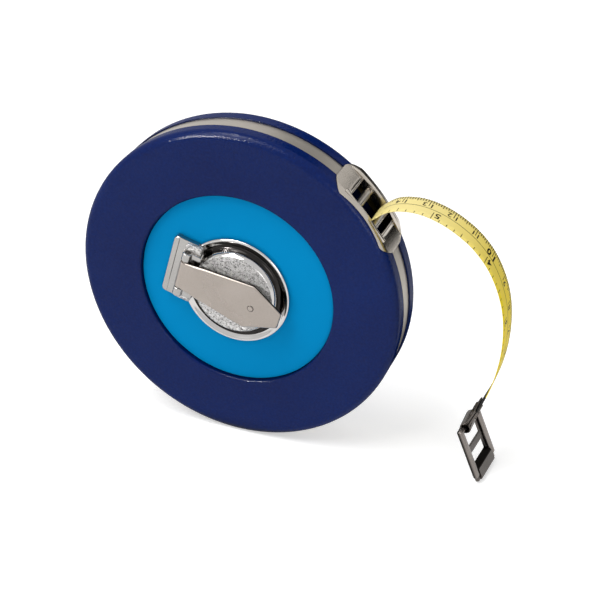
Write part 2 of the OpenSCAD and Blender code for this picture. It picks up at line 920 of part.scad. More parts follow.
// Screws from inside the drum into the hub's pillars
module hub_screws() {
    color(chrome)
        on_crank()
            at_hub_screws() {
                disc(head_r, web_z - hub_screw_head_h, web_z);
                disc(screw_r, web_z - hub_screw_head_h / 2, hub_screw_top_z);
            }
}

module hinge_pin() {
    color(chrome)
        on_crank()
            along_pin(-ear_out)
                cylinder(r = hinge_pin_d / 2, h = pin_l);
}

// Outline of the arm, from its hinge over its neck to its widest place and its tip
module arm_outline() {
    half = [[0, arm_hinge_w / 2], [arm_neck_x, arm_neck_w / 2], [arm_wide_x, arm_wide_w / 2],
        [arm_tip_x, arm_tip_w / 2]];
    n = len(half) - 1;
    polygon(concat(half, [for (i = [n:-1:0]) [half[i][0], -half[i][1]]]));
}

// Flat crank arm that widens to a bevelled tip, with a barrel on the hinge pin
module crank_arm() {
    color(nickel)
        on_crank()
            difference() {
                union() {
                    translate([-hinge_x, 0, arm_z])
                        linear_extrude(height = arm_t)
                            arm_outline();
                    along_pin(-arm_hinge_w / 2)
                        cylinder(r = barrel_r, h = arm_hinge_w);
                }
                along_pin(-ear_out)
                    cylinder(r = hinge_pin_d / 2 + run_gap, h = pin_l);
                translate([knob_at, 0, 0])
                    disc(rivet_r, arm_z - cut, arm_top_z + cut);
            }
}

// Rivet that carries the knob, headed over on the arm and in the knob's end
module knob_rivet() {
    color(nickel)
        on_crank()
            translate([knob_at, 0, 0]) {
                disc(rivet_r, knob_end_z, arm_top_z + rivet_dome_t);
                disc(rivet_head_r, knob_end_z, knob_end_z + rivet_head_t);
            }
}

// Turned knob under the arm, with a counterbore for the rivet's head
module winding_knob() {
    waist_cut = 0.6;
    waist_r = knob_r - waist_cut;
    edge = 0.6;
    bore_r = rivet_r + run_gap;
    sink_r = rivet_head_r + move_gap;
    sink_z = knob_end_z + rivet_head_t + move_gap;
    color(black)
        on_crank()
            translate([knob_at, 0, 0])
                rotate_extrude()
                    polygon([[bore_r, knob_top_z], [waist_r - edge, knob_top_z],
                        [waist_r, knob_top_z - edge], [waist_r, knob_top_z - knob_l / 3],
                        [knob_r, knob_end_z + knob_l / 3], [knob_r, knob_end_z + edge],
                        [knob_r - edge, knob_end_z], [sink_r, knob_end_z], [sink_r, sink_z],
                        [bore_r, sink_z]]);
}

front_cover();
rear_cover();
rim_band();
front_label();
case_screws();
mouth_plate();
roller_pins();
upper_roller();
lower_roller();
front_bush();
rear_bush();
drum();
spindle();
tape_winding();
tape_lead();
tape_blade();
tape_end_clip();
clip_rivets();
end_ring();
crank_hub();
hub_screws();
hinge_pin();
crank_arm();
knob_rivet();
winding_knob();
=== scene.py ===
import math

import bmesh
import bpy
from mathutils import Matrix, Vector


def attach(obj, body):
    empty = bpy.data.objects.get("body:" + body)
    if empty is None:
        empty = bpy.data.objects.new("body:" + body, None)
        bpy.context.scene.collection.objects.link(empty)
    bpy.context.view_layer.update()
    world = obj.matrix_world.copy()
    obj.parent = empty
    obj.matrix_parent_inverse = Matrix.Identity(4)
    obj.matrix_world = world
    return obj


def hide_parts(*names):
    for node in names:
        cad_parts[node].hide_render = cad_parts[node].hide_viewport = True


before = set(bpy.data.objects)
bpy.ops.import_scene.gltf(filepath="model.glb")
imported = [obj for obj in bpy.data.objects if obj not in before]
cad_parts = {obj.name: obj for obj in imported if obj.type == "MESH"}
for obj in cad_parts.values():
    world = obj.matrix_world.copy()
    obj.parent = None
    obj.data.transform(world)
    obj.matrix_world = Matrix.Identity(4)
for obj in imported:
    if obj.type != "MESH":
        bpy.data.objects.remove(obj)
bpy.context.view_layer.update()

# Drum and spindle: the turned aluminium core inside the case and its steel journal.
# Both are lathe work, so they carry faint tool lines and a light film of oil.
# The finish maker and the two shared surface effects start here, with their first use.


def effect_group(name, inputs, outputs):
    group = bpy.data.node_groups.new(name, "ShaderNodeTree")
    for label, kind, start in inputs:
        socket = group.interface.new_socket(label, in_out="INPUT", socket_type=kind)
        socket.default_value = start
    for label in outputs:
        group.interface.new_socket(label, in_out="OUTPUT", socket_type="NodeSocketFloat")
    entry = group.nodes.new("NodeGroupInput")
    way_out = group.nodes.new("NodeGroupOutput")
    return group, entry, way_out


def add_noise(tree, vector, scale, detail, roughness=0.5):
    noise = tree.nodes.new("ShaderNodeTexNoise")
    if isinstance(scale, bpy.types.NodeSocket):
        tree.links.new(scale, noise.inputs["Scale"])
    else:
        noise.inputs["Scale"].default_value = scale
    noise.inputs["Detail"].default_value = detail
    noise.inputs["Roughness"].default_value = roughness
    tree.links.new(vector, noise.inputs["Vector"])
    return noise


# Lines drawn out along one direction: brushing, tool marks and rolling lines.
brushing, entry, way_out = effect_group(
    "brushing", [("Stretch", "NodeSocketVector", (1, 1, 1))], ["Shade", "Height"])
place = brushing.nodes.new("ShaderNodeTexCoord")
stretch = brushing.nodes.new("ShaderNodeMapping")
brushing.links.new(place.outputs["Object"], stretch.inputs["Vector"])
brushing.links.new(entry.outputs["Stretch"], stretch.inputs["Scale"])
lines = add_noise(brushing, stretch.outputs["Vector"], scale=1, detail=4, roughness=0.65)
clouds = add_noise(brushing, place.outputs["Object"], scale=60, detail=3)
blend_lines = brushing.nodes.new("ShaderNodeMix")
blend_lines.inputs["Factor"].default_value = 0.45
brushing.links.new(lines.outputs["Fac"], blend_lines.inputs["A"])
brushing.links.new(clouds.outputs["Fac"], blend_lines.inputs["B"])
brushing.links.new(blend_lines.outputs["Result"], way_out.inputs["Shade"])
brushing.links.new(lines.outputs["Fac"], way_out.inputs["Height"])

# Smears and dulled patches left by hands and oil, which change the gloss.
handling, entry, way_out = effect_group(
    "handling", [("Size", "NodeSocketFloat", 40)], ["Smear"])
place = handling.nodes.new("ShaderNodeTexCoord")
smears = add_noise(handling, place.outputs["Object"], entry.outputs["Size"], detail=5, roughness=0.6)
handling.links.new(smears.outputs["Fac"], way_out.inputs["Smear"])

# Where a Mix node that blends colours keeps its two colours and its result.
COLOUR_A, COLOUR_B, COLOUR_OUT = 6, 7, 2
RELIEF_STRENGTH = 0.6


def make_finish(name, pattern, setting, dark, light, rough, lift, metal=0, gloss=0.5):
    finish = bpy.data.materials.new(name)
    finish.use_nodes = True
    nodes, links = finish.node_tree.nodes, finish.node_tree.links
    shader = nodes["Principled BSDF"]
    shader.inputs["Metallic"].default_value = metal
    shader.inputs["Specular IOR Level"].default_value = gloss
    effect = nodes.new("ShaderNodeGroup")
    effect.node_tree = pattern
    effect.inputs[0].default_value = setting
    marks = nodes.new("ShaderNodeGroup")
    marks.node_tree = handling
    tint = nodes.new("ShaderNodeMix")
    tint.name = "tint"
    tint.data_type = "RGBA"
    tint.inputs[COLOUR_A].default_value = (*dark, 1)
    tint.inputs[COLOUR_B].default_value = (*light, 1)
    links.new(effect.outputs["Shade"], tint.inputs["Factor"])
    links.new(tint.outputs[COLOUR_OUT], shader.inputs["Base Color"])
    gloss_range = nodes.new("ShaderNodeMapRange")
    gloss_range.inputs["From Min"].default_value = 0.3
    gloss_range.inputs["From Max"].default_value = 0.7
    gloss_range.inputs["To Min"].default_value = rough[0]
    gloss_range.inputs["To Max"].default_value = rough[1]
    links.new(marks.outputs["Smear"], gloss_range.inputs["Value"])
    links.new(gloss_range.outputs["Result"], shader.inputs["Roughness"])
    relief = nodes.new("ShaderNodeBump")
    relief.name = "relief"
    relief.inputs["Strength"].default_value = RELIEF_STRENGTH
    relief.inputs["Distance"].default_value = lift
    links.new(effect.outputs["Height"], relief.inputs["Height"])
    links.new(relief.outputs["Normal"], shader.inputs["Normal"])
    return finish


def dress(node, finish):
    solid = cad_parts[node]
    solid.data.materials.clear()
    solid.data.materials.append(finish)


drum_finish = make_finish(
    "turned_alloy", brushing, (900, 4000, 900),
    dark=(0.50, 0.50, 0.50), light=(0.62, 0.62, 0.61), rough=(0.28, 0.45), lift=0.00003, metal=1)
journal_finish = make_finish(
    "ground_steel", brushing, (600, 6000, 600),
    dark=(0.46, 0.46, 0.47), light=(0.58, 0.58, 0.58), rough=(0.14, 0.28), lift=0.00002, metal=1)
dress("drum", drum_finish)
dress("spindle", journal_finish)

# Bushes: the wide bearing ring under the hub and the flanged bush behind the spindle.
# Sintered bronze, pressed into the two shells and dark with oil.
bronze_finish = make_finish(
    "oiled_bronze", brushing, (5200, 5200, 5200),
    dark=(0.24, 0.15, 0.07), light=(0.42, 0.27, 0.12), rough=(0.3, 0.5), lift=0.00003, metal=1)
dress("front_bush", bronze_finish)
dress("rear_bush", bronze_finish)

# Wound tape: the rest of the lacquered steel strip, coiled tightly on the drum.
# The edges of its turns make close, uneven rings, and their yellow is painted dark as the shade inside
# the case.
wound_finish = make_finish(
    "wound_tape", brushing, (4000, 60, 4000),
    dark=(0.03, 0.024, 0.004), light=(0.12, 0.097, 0.018), rough=(0.3, 0.5), lift=0.00008, gloss=0.4)
dress("tape_winding", wound_finish)

# Case shells: two halves moulded in navy plastic, with a fine grain and a thin sheen all over.
# They close on each other under the rim band, and screws from the back hold them.
# Their edges are softened, and painted shade darkens the colour in the crevices.
GRAIN_DETAIL, GRAIN_ROUGHNESS = 2, 0.55
SHELL_GRAIN, GRAIN_DEPTH = 1000, 0.0003
moulded, entry, way_out = effect_group(
    "moulded_grain", [("Grain", "NodeSocketFloat", 2400)], ["Shade", "Height"])
place = moulded.nodes.new("ShaderNodeTexCoord")
grain = add_noise(
    moulded, place.outputs["Object"], entry.outputs["Grain"], GRAIN_DETAIL, GRAIN_ROUGHNESS)
drift = add_noise(moulded, place.outputs["Object"], scale=28, detail=2)
mottle = moulded.nodes.new("ShaderNodeMix")
mottle.inputs["Factor"].default_value = 0.4
moulded.links.new(grain.outputs["Fac"], mottle.inputs["A"])
moulded.links.new(drift.outputs["Fac"], mottle.inputs["B"])
moulded.links.new(mottle.outputs["Result"], way_out.inputs["Shade"])
moulded.links.new(grain.outputs["Fac"], way_out.inputs["Height"])

shell_finish = make_finish(
    "navy_plastic", moulded, SHELL_GRAIN,
    dark=(0.0, 0.001, 0.033), light=(0.001, 0.019, 0.133), rough=(0.4, 0.5), lift=GRAIN_DEPTH, gloss=0)
nodes, links = shell_finish.node_tree.nodes, shell_finish.node_tree.links
shader = nodes["Principled BSDF"]
shader.inputs["Coat Weight"].default_value = 0.25
shader.inputs["Coat Roughness"].default_value = 0.13
soft_edge = nodes.new("ShaderNodeBevel")
soft_edge.inputs["Radius"].default_value = 0.0006
links.new(soft_edge.outputs["Normal"], nodes["relief"].inputs["Normal"])
shell_place = nodes.new("ShaderNodeTexCoord")
pebbles = add_noise(
    shell_finish.node_tree, shell_place.outputs["Object"], SHELL_GRAIN, GRAIN_DETAIL, GRAIN_ROUGHNESS)
sheen_relief = nodes.new("ShaderNodeBump")
sheen_relief.inputs["Strength"].default_value = RELIEF_STRENGTH
sheen_relief.inputs["Distance"].default_value = GRAIN_DEPTH
links.new(pebbles.outputs["Fac"], sheen_relief.inputs["Height"])
links.new(soft_edge.outputs["Normal"], sheen_relief.inputs["Normal"])
links.new(sheen_relief.outputs["Normal"], shader.inputs["Coat Normal"])
# Painted shade: an occlusion node darkens the base colour in crevices and inside the mouth.
painted_crevice_shade = nodes.new("ShaderNodeAmbientOcclusion")
painted_crevice_shade.inputs["Distance"].default_value = 0.008
links.new(nodes["tint"].outputs[COLOUR_OUT], painted_crevice_shade.inputs["Color"])
links.new(painted_crevice_shade.outputs["Color"], shader.inputs["Base Color"])
dress("rear_cover", shell_finish)
dress("front_cover", shell_finish)

# Rim band: a strip of rolled nickel silver bedded in the groove round both shells.
# Rolling leaves faint lines round the rim and a soft, warm shine.
band_finish = make_finish(
    "rolled_nickel", brushing, (120, 5200, 120),
    dark=(0.345, 0.315, 0.275), light=(0.48, 0.445, 0.40), rough=(0.36, 0.48), lift=0.00002, metal=1)
dress("rim_band", band_finish)

# Front label: a thin printed disc glued into the recess, plain blue with a satin face.
# Fine print grain and slow shifts of tone keep it from looking like bare plastic.
label_finish = make_finish(
    "blue_print", moulded, 5200,
    dark=(0.0, 0.205, 0.47), light=(0.0, 0.25, 0.545), rough=(0.4, 0.5), lift=0.00002, gloss=0.02)
dress("front_label", label_finish)

# Case screws: four slotted screws of zinc-plated steel, their heads sunk in the back shell.
# They are driven through it into pillars of the front shell.
screw_finish = make_finish(
    "zinc_steel", brushing, (2600, 2600, 2600),
    dark=(0.40, 0.40, 0.40), light=(0.56, 0.56, 0.55), rough=(0.25, 0.42), lift=0.00003, metal=1)
dress("case_screws", screw_finish)

# Mouth plate: pressed nickel plate wrapped over the rim, with rounded ends and a window.
# Its back edge stands proud of the rim, and a bead crosses it at each end of the window.
# Two cheeks folded down inside the window carry the roller pins.
MILLIMETRE = 0.001
TO_FRONT = Matrix.Rotation(math.radians(90), 4, "X") @ Matrix.Scale(MILLIMETRE, 4)


def lay_sheet(bm, columns, rows, place):
    made = bmesh.ops.create_grid(
        bm, x_segments=len(columns) - 1, y_segments=len(rows) - 1, size=0.5)
    spots = {}
    for vert in made["verts"]:
        column = columns[round((vert.co.x + 0.5) * (len(columns) - 1))]
        row = rows[round((vert.co.y + 0.5) * (len(rows) - 1))]
        spots[vert] = (column, row)
        vert.co = place(column, row)
    return spots


CREASE = math.radians(35)


def keep_piece(name, bm, finishes, seat=None):
    bmesh.ops.remove_doubles(bm, verts=bm.verts[:], dist=1e-6)
    bmesh.ops.recalc_face_normals(bm, faces=bm.faces[:])
    if seat is not None:
        bmesh.ops.transform(bm, matrix=seat, verts=bm.verts[:])
    mesh = bpy.data.meshes.new(name)
    bm.to_mesh(mesh)
    bm.free()
    for finish in finishes:
        mesh.materials.append(finish)
    mesh.shade_smooth()
    mesh.set_sharp_from_angle(angle=CREASE)
    piece = bpy.data.objects.new(name, mesh)
    bpy.context.scene.collection.objects.link(piece)
    return piece


def thicken(piece, thickness, edge):
    wall = piece.modifiers.new("wall", "SOLIDIFY")
    wall.thickness = thickness
    wall.offset = 0
    if edge:
        rounding = piece.modifiers.new("rounding", "BEVEL")
        rounding.width = edge
        rounding.segments = 2
        rounding.limit_method = "ANGLE"
        rounding.angle_limit = math.radians(50)


def add_block(bm, low, high, edge, steps=2):
    size = [b - a for a, b in zip(low, high)]
    middle = [(a + b) / 2 for a, b in zip(low, high)]
    made = bmesh.ops.create_cube(
        bm, size=1, matrix=Matrix.Translation(middle) @ Matrix.Diagonal((*size, 1)))
    edges = {e for v in made["verts"] for e in v.link_edges}
    bmesh.ops.bevel(bm, geom=list(edges), offset=edge, segments=steps, profile=0.5,
                    affect="EDGES", material=-1)


CASE_RADIUS = 66.5
CASE_MIDDLE = 11
EDGE_RADIUS = 3.2
EDGE_START = CASE_MIDDLE - EDGE_RADIUS
MOUTH_ANGLE = 38.8
PLATE_END, PLATE_FULL = 17.8, 12.5
PLATE_WAIST, PLATE_HALF, PLATE_TIP = 9.7, 10.3, 3.9
TIP_CURVE, TIP_FULLNESS = 1.9, 0.72
WINDOW_LONG, WINDOW_WIDE, FRAME_SIDE = 9.3, 7, 1
BEAD_WIDTH, BEAD_LIFT, BEAD_ROUND, BEAD_FADE = 1.1, 0.28, 0.6, 6
RAISED, RAISED_SLOPE, RAISED_FROM, RAISED_TO, RAISED_STEP = 1.0, 0.17, 16.5, 12, 0.12
PLATE_WALL, PLATE_GAP, PLATE_EDGE = 0.3, 0.05, 0.00008
PLATE_MIDDLE = PLATE_GAP + PLATE_WALL / 2


def plate_half_width(along):
    flare = min(1, abs(along) / PLATE_FULL)
    past = max(0, (abs(along) - PLATE_FULL) / (PLATE_END - PLATE_FULL))
    full = PLATE_WAIST + (PLATE_HALF - PLATE_WAIST) * flare ** 2
    return PLATE_TIP + (full - PLATE_TIP) * max(0, 1 - past ** TIP_CURVE) ** TIP_FULLNESS


def bead_height(along, across):
    off = abs(along) - WINDOW_LONG
    ridge = max(0, 1 - abs(2 * off / BEAD_WIDTH - 1)) ** BEAD_ROUND
    return BEAD_LIFT * ridge * max(0, 1 - (across / WINDOW_WIDE) ** BEAD_FADE)


def raise_far_edge(along, share, across, out):
    far = -share - 1
    if far <= 0 or far >= 1:
        return out
    fade = min(1, max(0, (RAISED_FROM - abs(along)) / (RAISED_FROM - RAISED_TO)))
    lift = RAISED * min(1, far / RAISED_STEP)
    flat = CASE_RADIUS + PLATE_MIDDLE + lift + RAISED_SLOPE * (across + WINDOW_WIDE)
    return out + fade * (flat - out)


def on_rim(along, share):
    half = plate_half_width(along)
    window = min(WINDOW_WIDE, half - FRAME_SIDE)
    across = share * window if abs(share) <= 1 else (
        math.copysign(window + (abs(share) - 1) * (half - window), share))
    past = max(0, abs(across) - EDGE_START)
    round_out = math.sqrt((EDGE_RADIUS + PLATE_MIDDLE) ** 2 - past ** 2)
    out = CASE_RADIUS - EDGE_RADIUS + round_out + bead_height(along, across)
    out = raise_far_edge(along, share, across, out)
    turn = math.radians(MOUTH_ANGLE) + math.asin(along / (CASE_RADIUS + PLATE_MIDDLE))
    return out * math.cos(turn), out * math.sin(turn), CASE_MIDDLE + across


half_columns = [3, 6, WINDOW_LONG, 9.5, 9.7, 9.9, 10.1, 10.4, 11.4, PLATE_FULL,
                13.3, 14.2, 15, 15.8, 16.5, 17, 17.4, 17.65, PLATE_END]
half_rows = [0.3, 0.6, 0.85, 1, 1.06, 1.12, 1.18, 1.25, 1.33, 1.45, 1.6, 1.75, 1.9, 1.97, 2]
plate_columns = [-c for c in reversed(half_columns)] + [0] + half_columns
plate_rows = [-r for r in reversed(half_rows)] + [0] + half_rows
plate = bmesh.new()
spots = lay_sheet(plate, plate_columns, plate_rows, on_rim)
window = [f for f in plate.faces
          if all(abs(spots[v][0]) <= WINDOW_LONG and abs(spots[v][1]) <= 1 for v in f.verts)]
bmesh.ops.delete(plate, geom=window, context="FACES")

nickel_finish = make_finish(
    "pressed_nickel", brushing, (900, 4200, 900),
    dark=(0.36, 0.325, 0.285), light=(0.54, 0.495, 0.435), rough=(0.14, 0.24), lift=0.00002, metal=1)
mouth_frame = keep_piece("mouth_frame", plate, [nickel_finish], TO_FRONT)
thicken(mouth_frame, PLATE_WALL * MILLIMETRE, PLATE_EDGE)

CHEEK_INSIDE, CHEEK_OUTSIDE = 7.2, 8.2
CHEEK_LOW, CHEEK_TOP = 61.1, 66.6
CHEEK_HALF, CHEEK_EDGE = 11.95, 0.15
cheeks = bmesh.new()
for side in (CASE_MIDDLE - CHEEK_OUTSIDE, CASE_MIDDLE + CHEEK_INSIDE):
    add_block(cheeks, (CHEEK_LOW, -CHEEK_HALF, side),
              (CHEEK_TOP, CHEEK_HALF, side + CHEEK_OUTSIDE - CHEEK_INSIDE), CHEEK_EDGE)
turn_to_mouth = TO_FRONT @ Matrix.Rotation(math.radians(MOUTH_ANGLE), 4, "Z")
mouth_cheeks = keep_piece("mouth_cheeks", cheeks, [nickel_finish], turn_to_mouth)
for piece in (mouth_frame, mouth_cheeks):
    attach(piece, "case")
    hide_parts("mouth_plate")

# Guide rollers and their pins: two short rollers of ground steel where the tape runs out.
# Each turns freely on a pin that is held by the mouth plate's two cheeks.
roller_finish = make_finish(
    "ground_rollers", brushing, (5200, 200, 5200),
    dark=(0.40, 0.37, 0.33), light=(0.58, 0.54, 0.48), rough=(0.2, 0.32), lift=0.00002, metal=1)
dress("upper_roller", roller_finish)
dress("lower_roller", roller_finish)
dress("roller_pins", journal_finish)

# Tape inside the mouth: the run of lacquered strip from the coil to the lower roller.
# Its colour is painted dark as shade inside the case, and takes the free tape's yellow as it leaves the
# roller.
TAPE_WIDTH, TAPE_WALL = 0.0125, 0.00025
TAPE_MIDDLE = -0.011
BEND_CENTRE = Vector((0.058993, 0.033293))
BEND_RADIUS = 0.008
BEND_FROM, BEND_TO = math.radians(185.947), math.radians(128)
BEND_STEPS = 24
COIL_END = Vector((0.053834, 0.005608))
SHADE_UNTIL, YELLOW_FROM = 0.003, 0.0005


def lay_strip(path, width):
    bm = bmesh.new()
    lengths = [0]
    for a, b in zip(path, path[1:]):
        lengths.append(lengths[-1] + (b - a).length)
    halves = [-1, -0.6, 0, 0.6, 1]
    spots = lay_sheet(
        bm, range(len(path)), halves,
        lambda i, share: (path[i].x, TAPE_MIDDLE + share * width(i) / 2, path[i].y))
    printed = bm.loops.layers.uv.new("tape_run")
    for face in bm.faces:
        for corner in face.loops:
            i, share = spots[corner.vert]
            corner[printed].uv = (lengths[i], share * width(i) / 2)
    return bm, lengths[-1]


# Painted sheen: this pale yellow stands in for the light on the tape's top near the mouth.
sheen_lacquer = make_finish(
    "yellow_lacquer_painted_sheen", moulded, 3000,
    dark=(0.76, 0.64, 0.24), light=(0.84, 0.72, 0.31), rough=(0.45, 0.55), lift=0.00003, gloss=0.12)


def shade_along(finish, name, shade, start, end, before=False):
    shaded = finish.copy()
    shaded.name = name
    nodes, links = shaded.node_tree.nodes, shaded.node_tree.links
    run = nodes.new("ShaderNodeUVMap")
    run.uv_map = "tape_run"
    parts = nodes.new("ShaderNodeSeparateXYZ")
    links.new(run.outputs["UV"], parts.inputs["Vector"])
    share = nodes.new("ShaderNodeMapRange")
    share.inputs["From Min"].default_value = start
    share.inputs["From Max"].default_value = end
    links.new(parts.outputs["X"], share.inputs["Value"])
    colour = nodes["Principled BSDF"].inputs["Base Color"]
    blend = nodes.new("ShaderNodeMix")
    blend.data_type = "RGBA"
    links.new(share.outputs["Result"], blend.inputs["Factor"])
    blend.inputs[COLOUR_A if before else COLOUR_B].default_value = (*shade, 1)
    links.new(colour.links[0].from_socket, blend.inputs[COLOUR_B if before else COLOUR_A])
    links.new(blend.outputs[COLOUR_OUT], colour)
    return shaded


lead_path = [COIL_END]
for i in range(BEND_STEPS + 1):
    turn = BEND_FROM + (BEND_TO - BEND_FROM) * i / BEND_STEPS
    lead_path.append(BEND_CENTRE + BEND_RADIUS * Vector((math.cos(turn), math.sin(turn))))
lead, lead_length = lay_strip(lead_path, lambda i: TAPE_WIDTH)
# Painted shade: near black along the run, turning to the tape's yellow just before the roller.
inner_finish = shade_along(sheen_lacquer, "lacquer_painted_shade", (0.005, 0.004, 0.002),
                           lead_length - SHADE_UNTIL, lead_length - YELLOW_FROM, before=True)
tape_inner_run = keep_piece("tape_inner_run", lead, [inner_finish])
thicken(tape_inner_run, TAPE_WALL, 0)
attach(tape_inner_run, "case")
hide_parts("tape_lead")

# Free tape: the stretch that springs out of the mouth and curls over to the end ring.
# Lacquered spring steel in one piece, pale near the mouth with a painted sheen that fades
# to a stronger yellow where it hangs, with a short black end that the clip holds.
mouth_exit = lead_path[-1]
EXIT_TURN = math.radians(38)
GUIDE_STEP = 0.004
EXIT_RUN = Vector((math.cos(EXIT_TURN), math.sin(EXIT_TURN))) * GUIDE_STEP
HINGE = Vector((0.0935, -0.0444))
HINGE_TO_TAPE = 0.003436
route = [Vector(p) for p in [
    (0.0585, 0.043), (0.063, 0.0446), (0.0685, 0.0451), (0.074, 0.0444), (0.08, 0.0424),
    (0.086, 0.0392), (0.092, 0.0346), (0.0974, 0.0282), (0.1015, 0.0203), (0.1042, 0.0115),
    (0.1053, 0.002), (0.1051, -0.0075), (0.1038, -0.0165), (0.1016, -0.025), (0.0989, -0.0322)]]
clip_run = (route[-1] - HINGE).normalized()
tape_end = HINGE + clip_run * HINGE_TO_TAPE
stations = [mouth_exit - EXIT_RUN, mouth_exit, *route, tape_end, tape_end - clip_run * GUIDE_STEP]
ROUTE_STEPS = 8
free_path = []
for a, b, c, d in zip(stations, stations[1:], stations[2:], stations[3:]):
    for k in range(ROUTE_STEPS):
        t = k / ROUTE_STEPS
        free_path.append(0.5 * (2 * b + (c - a) * t + (2 * a - 5 * b + 4 * c - d) * t * t
                                + (3 * b - a - 3 * c + d) * t ** 3))
free_path.append(tape_end)
CLIP_REACH = 0.0063
CLIP_SHARE = 0.8


def tape_width(i):
    left = sum((b - a).length for a, b in zip(free_path[i:], free_path[i + 1:]))
    return TAPE_WIDTH * (CLIP_SHARE if left < CLIP_REACH else 1)


strip, tape_length = lay_strip(free_path, tape_width)
BLACK_LENGTH, BLACK_FADE = 0.0152, 0.0003
black_from = tape_length - BLACK_LENGTH
SHEEN_FADES_FROM, SHEEN_GONE_AT = 0.02, 0.066
strong_yellow = shade_along(
    sheen_lacquer, "strong_lacquer", (0.82, 0.63, 0.02), SHEEN_FADES_FROM, SHEEN_GONE_AT)
blade_finish = shade_along(strong_yellow, "blade_lacquer", (0.006, 0.006, 0.006),
                           black_from, black_from + BLACK_FADE)
tape_strip = keep_piece("tape_strip", strip, [blade_finish])
thicken(tape_strip, TAPE_WALL, 0)
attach(tape_strip, "case")
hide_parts("tape_blade")

# Tape print: black centimetre and inch scales, laid out flat and wrapped on the strip.
# Figures read from the ring towards the mouth; the mark of a two-figure number splits it.
INK_LIFT = 0.00003
ZERO_TO_TAPE = 0.0266
INCH = 0.0254
HALF_WIDTH = TAPE_WIDTH / 2
PRINT_FROM, PRINT_TO = 0.0435, 0.1465
LINE, LINE_STEPS = 0.00013, 160
LINE_BEFORE, LINE_PAST = 0.001, 0.0005
CENTIMETRE_REACH, HALF_REACH, MILLIMETRE_REACH = 0.0047, 0.0027, 0.0019
INCH_REACH, HALF_INCH_REACH, EIGHTH_REACH = 0.0048, 0.0026, 0.0016
FIGURE_GAP = 0.0009
BOLD_TALL, PLAIN_TALL, INCH_TALL = 0.0035, 0.0028, 0.0034
BOLD_WEIGHT, PLAIN_WEIGHT, INCH_WEIGHT = 0.032, 0.008, 0.018
FIGURE_BASE, INCH_BASE = -HALF_WIDTH + 0.0026, 0.0012
print_sheet = bmesh.new()


def print_bar(from_x, to_x, from_y, to_y, steps=1):
    size = ((to_x - from_x), (to_y - from_y), 1, 1)
    middle = ((from_x + to_x) / 2, (from_y + to_y) / 2, 0)
    bmesh.ops.create_grid(print_sheet, x_segments=steps, y_segments=1, size=0.5,
                          matrix=Matrix.Translation(middle) @ Matrix.Diagonal(size))


def print_figure(words, height, base, weight, left=None, right=None):
    outline = bpy.data.curves.new("figure", "FONT")
    outline.body = words
    outline.size = 1
    outline.offset = weight
    outline.resolution_u = 3
    writer = bpy.data.objects.new("figure", outline)
    bpy.context.scene.collection.objects.link(writer)
    flat = writer.evaluated_get(bpy.context.evaluated_depsgraph_get()).to_mesh().copy()
    bpy.data.objects.remove(writer)
    xs = [v.co.x for v in flat.vertices]
    ys = [v.co.y for v in flat.vertices]
    scale = height / (max(ys) - min(ys))
    shift = left - min(xs) * scale if right is None else right - max(xs) * scale
    flat.transform(
        Matrix.Translation((shift, base - min(ys) * scale, 0)) @ Matrix.Scale(scale, 4))
    print_sheet.from_mesh(flat)
    bpy.data.meshes.remove(flat)


for mark in range(math.ceil(PRINT_FROM * 1000), math.floor(PRINT_TO * 1000) + 1):
    x = mark / 1000
    reach = (CENTIMETRE_REACH if mark % 10 == 0 else
             HALF_REACH if mark % 5 == 0 else MILLIMETRE_REACH)
    print_bar(x - LINE, x + LINE, -HALF_WIDTH, -HALF_WIDTH + reach)
    if mark % 10 == 0:
        figure = str(mark // 10)
        bold = mark % 100 == 0
        tall = BOLD_TALL if bold else PLAIN_TALL
        weight = BOLD_WEIGHT if bold else PLAIN_WEIGHT
        print_figure(figure[0], tall, FIGURE_BASE, weight, right=x - FIGURE_GAP)
        if len(figure) == 2:
            print_figure(figure[1], tall, FIGURE_BASE, weight, left=x + FIGURE_GAP)
first_eighth = math.ceil(PRINT_FROM / INCH * 8)
last_eighth = math.floor(PRINT_TO / INCH * 8)
for mark in range(first_eighth, last_eighth + 1):
    x = mark / 8 * INCH
    reach = INCH_REACH if mark % 8 == 0 else HALF_INCH_REACH if mark % 4 == 0 else EIGHTH_REACH
    print_bar(x - LINE, x + LINE, HALF_WIDTH - reach, HALF_WIDTH)
    if mark % 8 == 0:
        print_figure(str(mark // 8), INCH_TALL, INCH_BASE, INCH_WEIGHT, right=x - FIGURE_GAP)
print_bar(PRINT_FROM - LINE_BEFORE, PRINT_TO + LINE_PAST, -LINE, LINE, steps=LINE_STEPS)


def out_of_path(path, i):
    run = path[min(i + 1, len(path) - 1)] - path[max(i - 1, 0)]
    return Vector((-run.y, run.x)).normalized()


def wrap_on_tape(x, y):
    left = tape_length - (x - ZERO_TO_TAPE)
    for i, (a, b) in enumerate(zip(free_path, free_path[1:])):
        step = (b - a).length
        if left <= step or i == len(free_path) - 2:
            share = left / step
            out = out_of_path(free_path, i).lerp(out_of_path(free_path, i + 1), share).normalized()
            spot = a.lerp(b, share) + out * (TAPE_WALL / 2 + INK_LIFT)
            return spot.x, TAPE_MIDDLE - y, spot.y
        left -= step


for vert in print_sheet.verts:
    vert.co = wrap_on_tape(vert.co.x, vert.co.y)
ink_finish = make_finish(
    "black_ink", moulded, 5200,
    dark=(0.003, 0.003, 0.002), light=(0.009, 0.008, 0.006), rough=(0.35, 0.5),
    lift=0.00001, gloss=0.05)
tape_print = keep_piece("tape_print", print_sheet, [ink_finish])
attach(tape_print, "case")

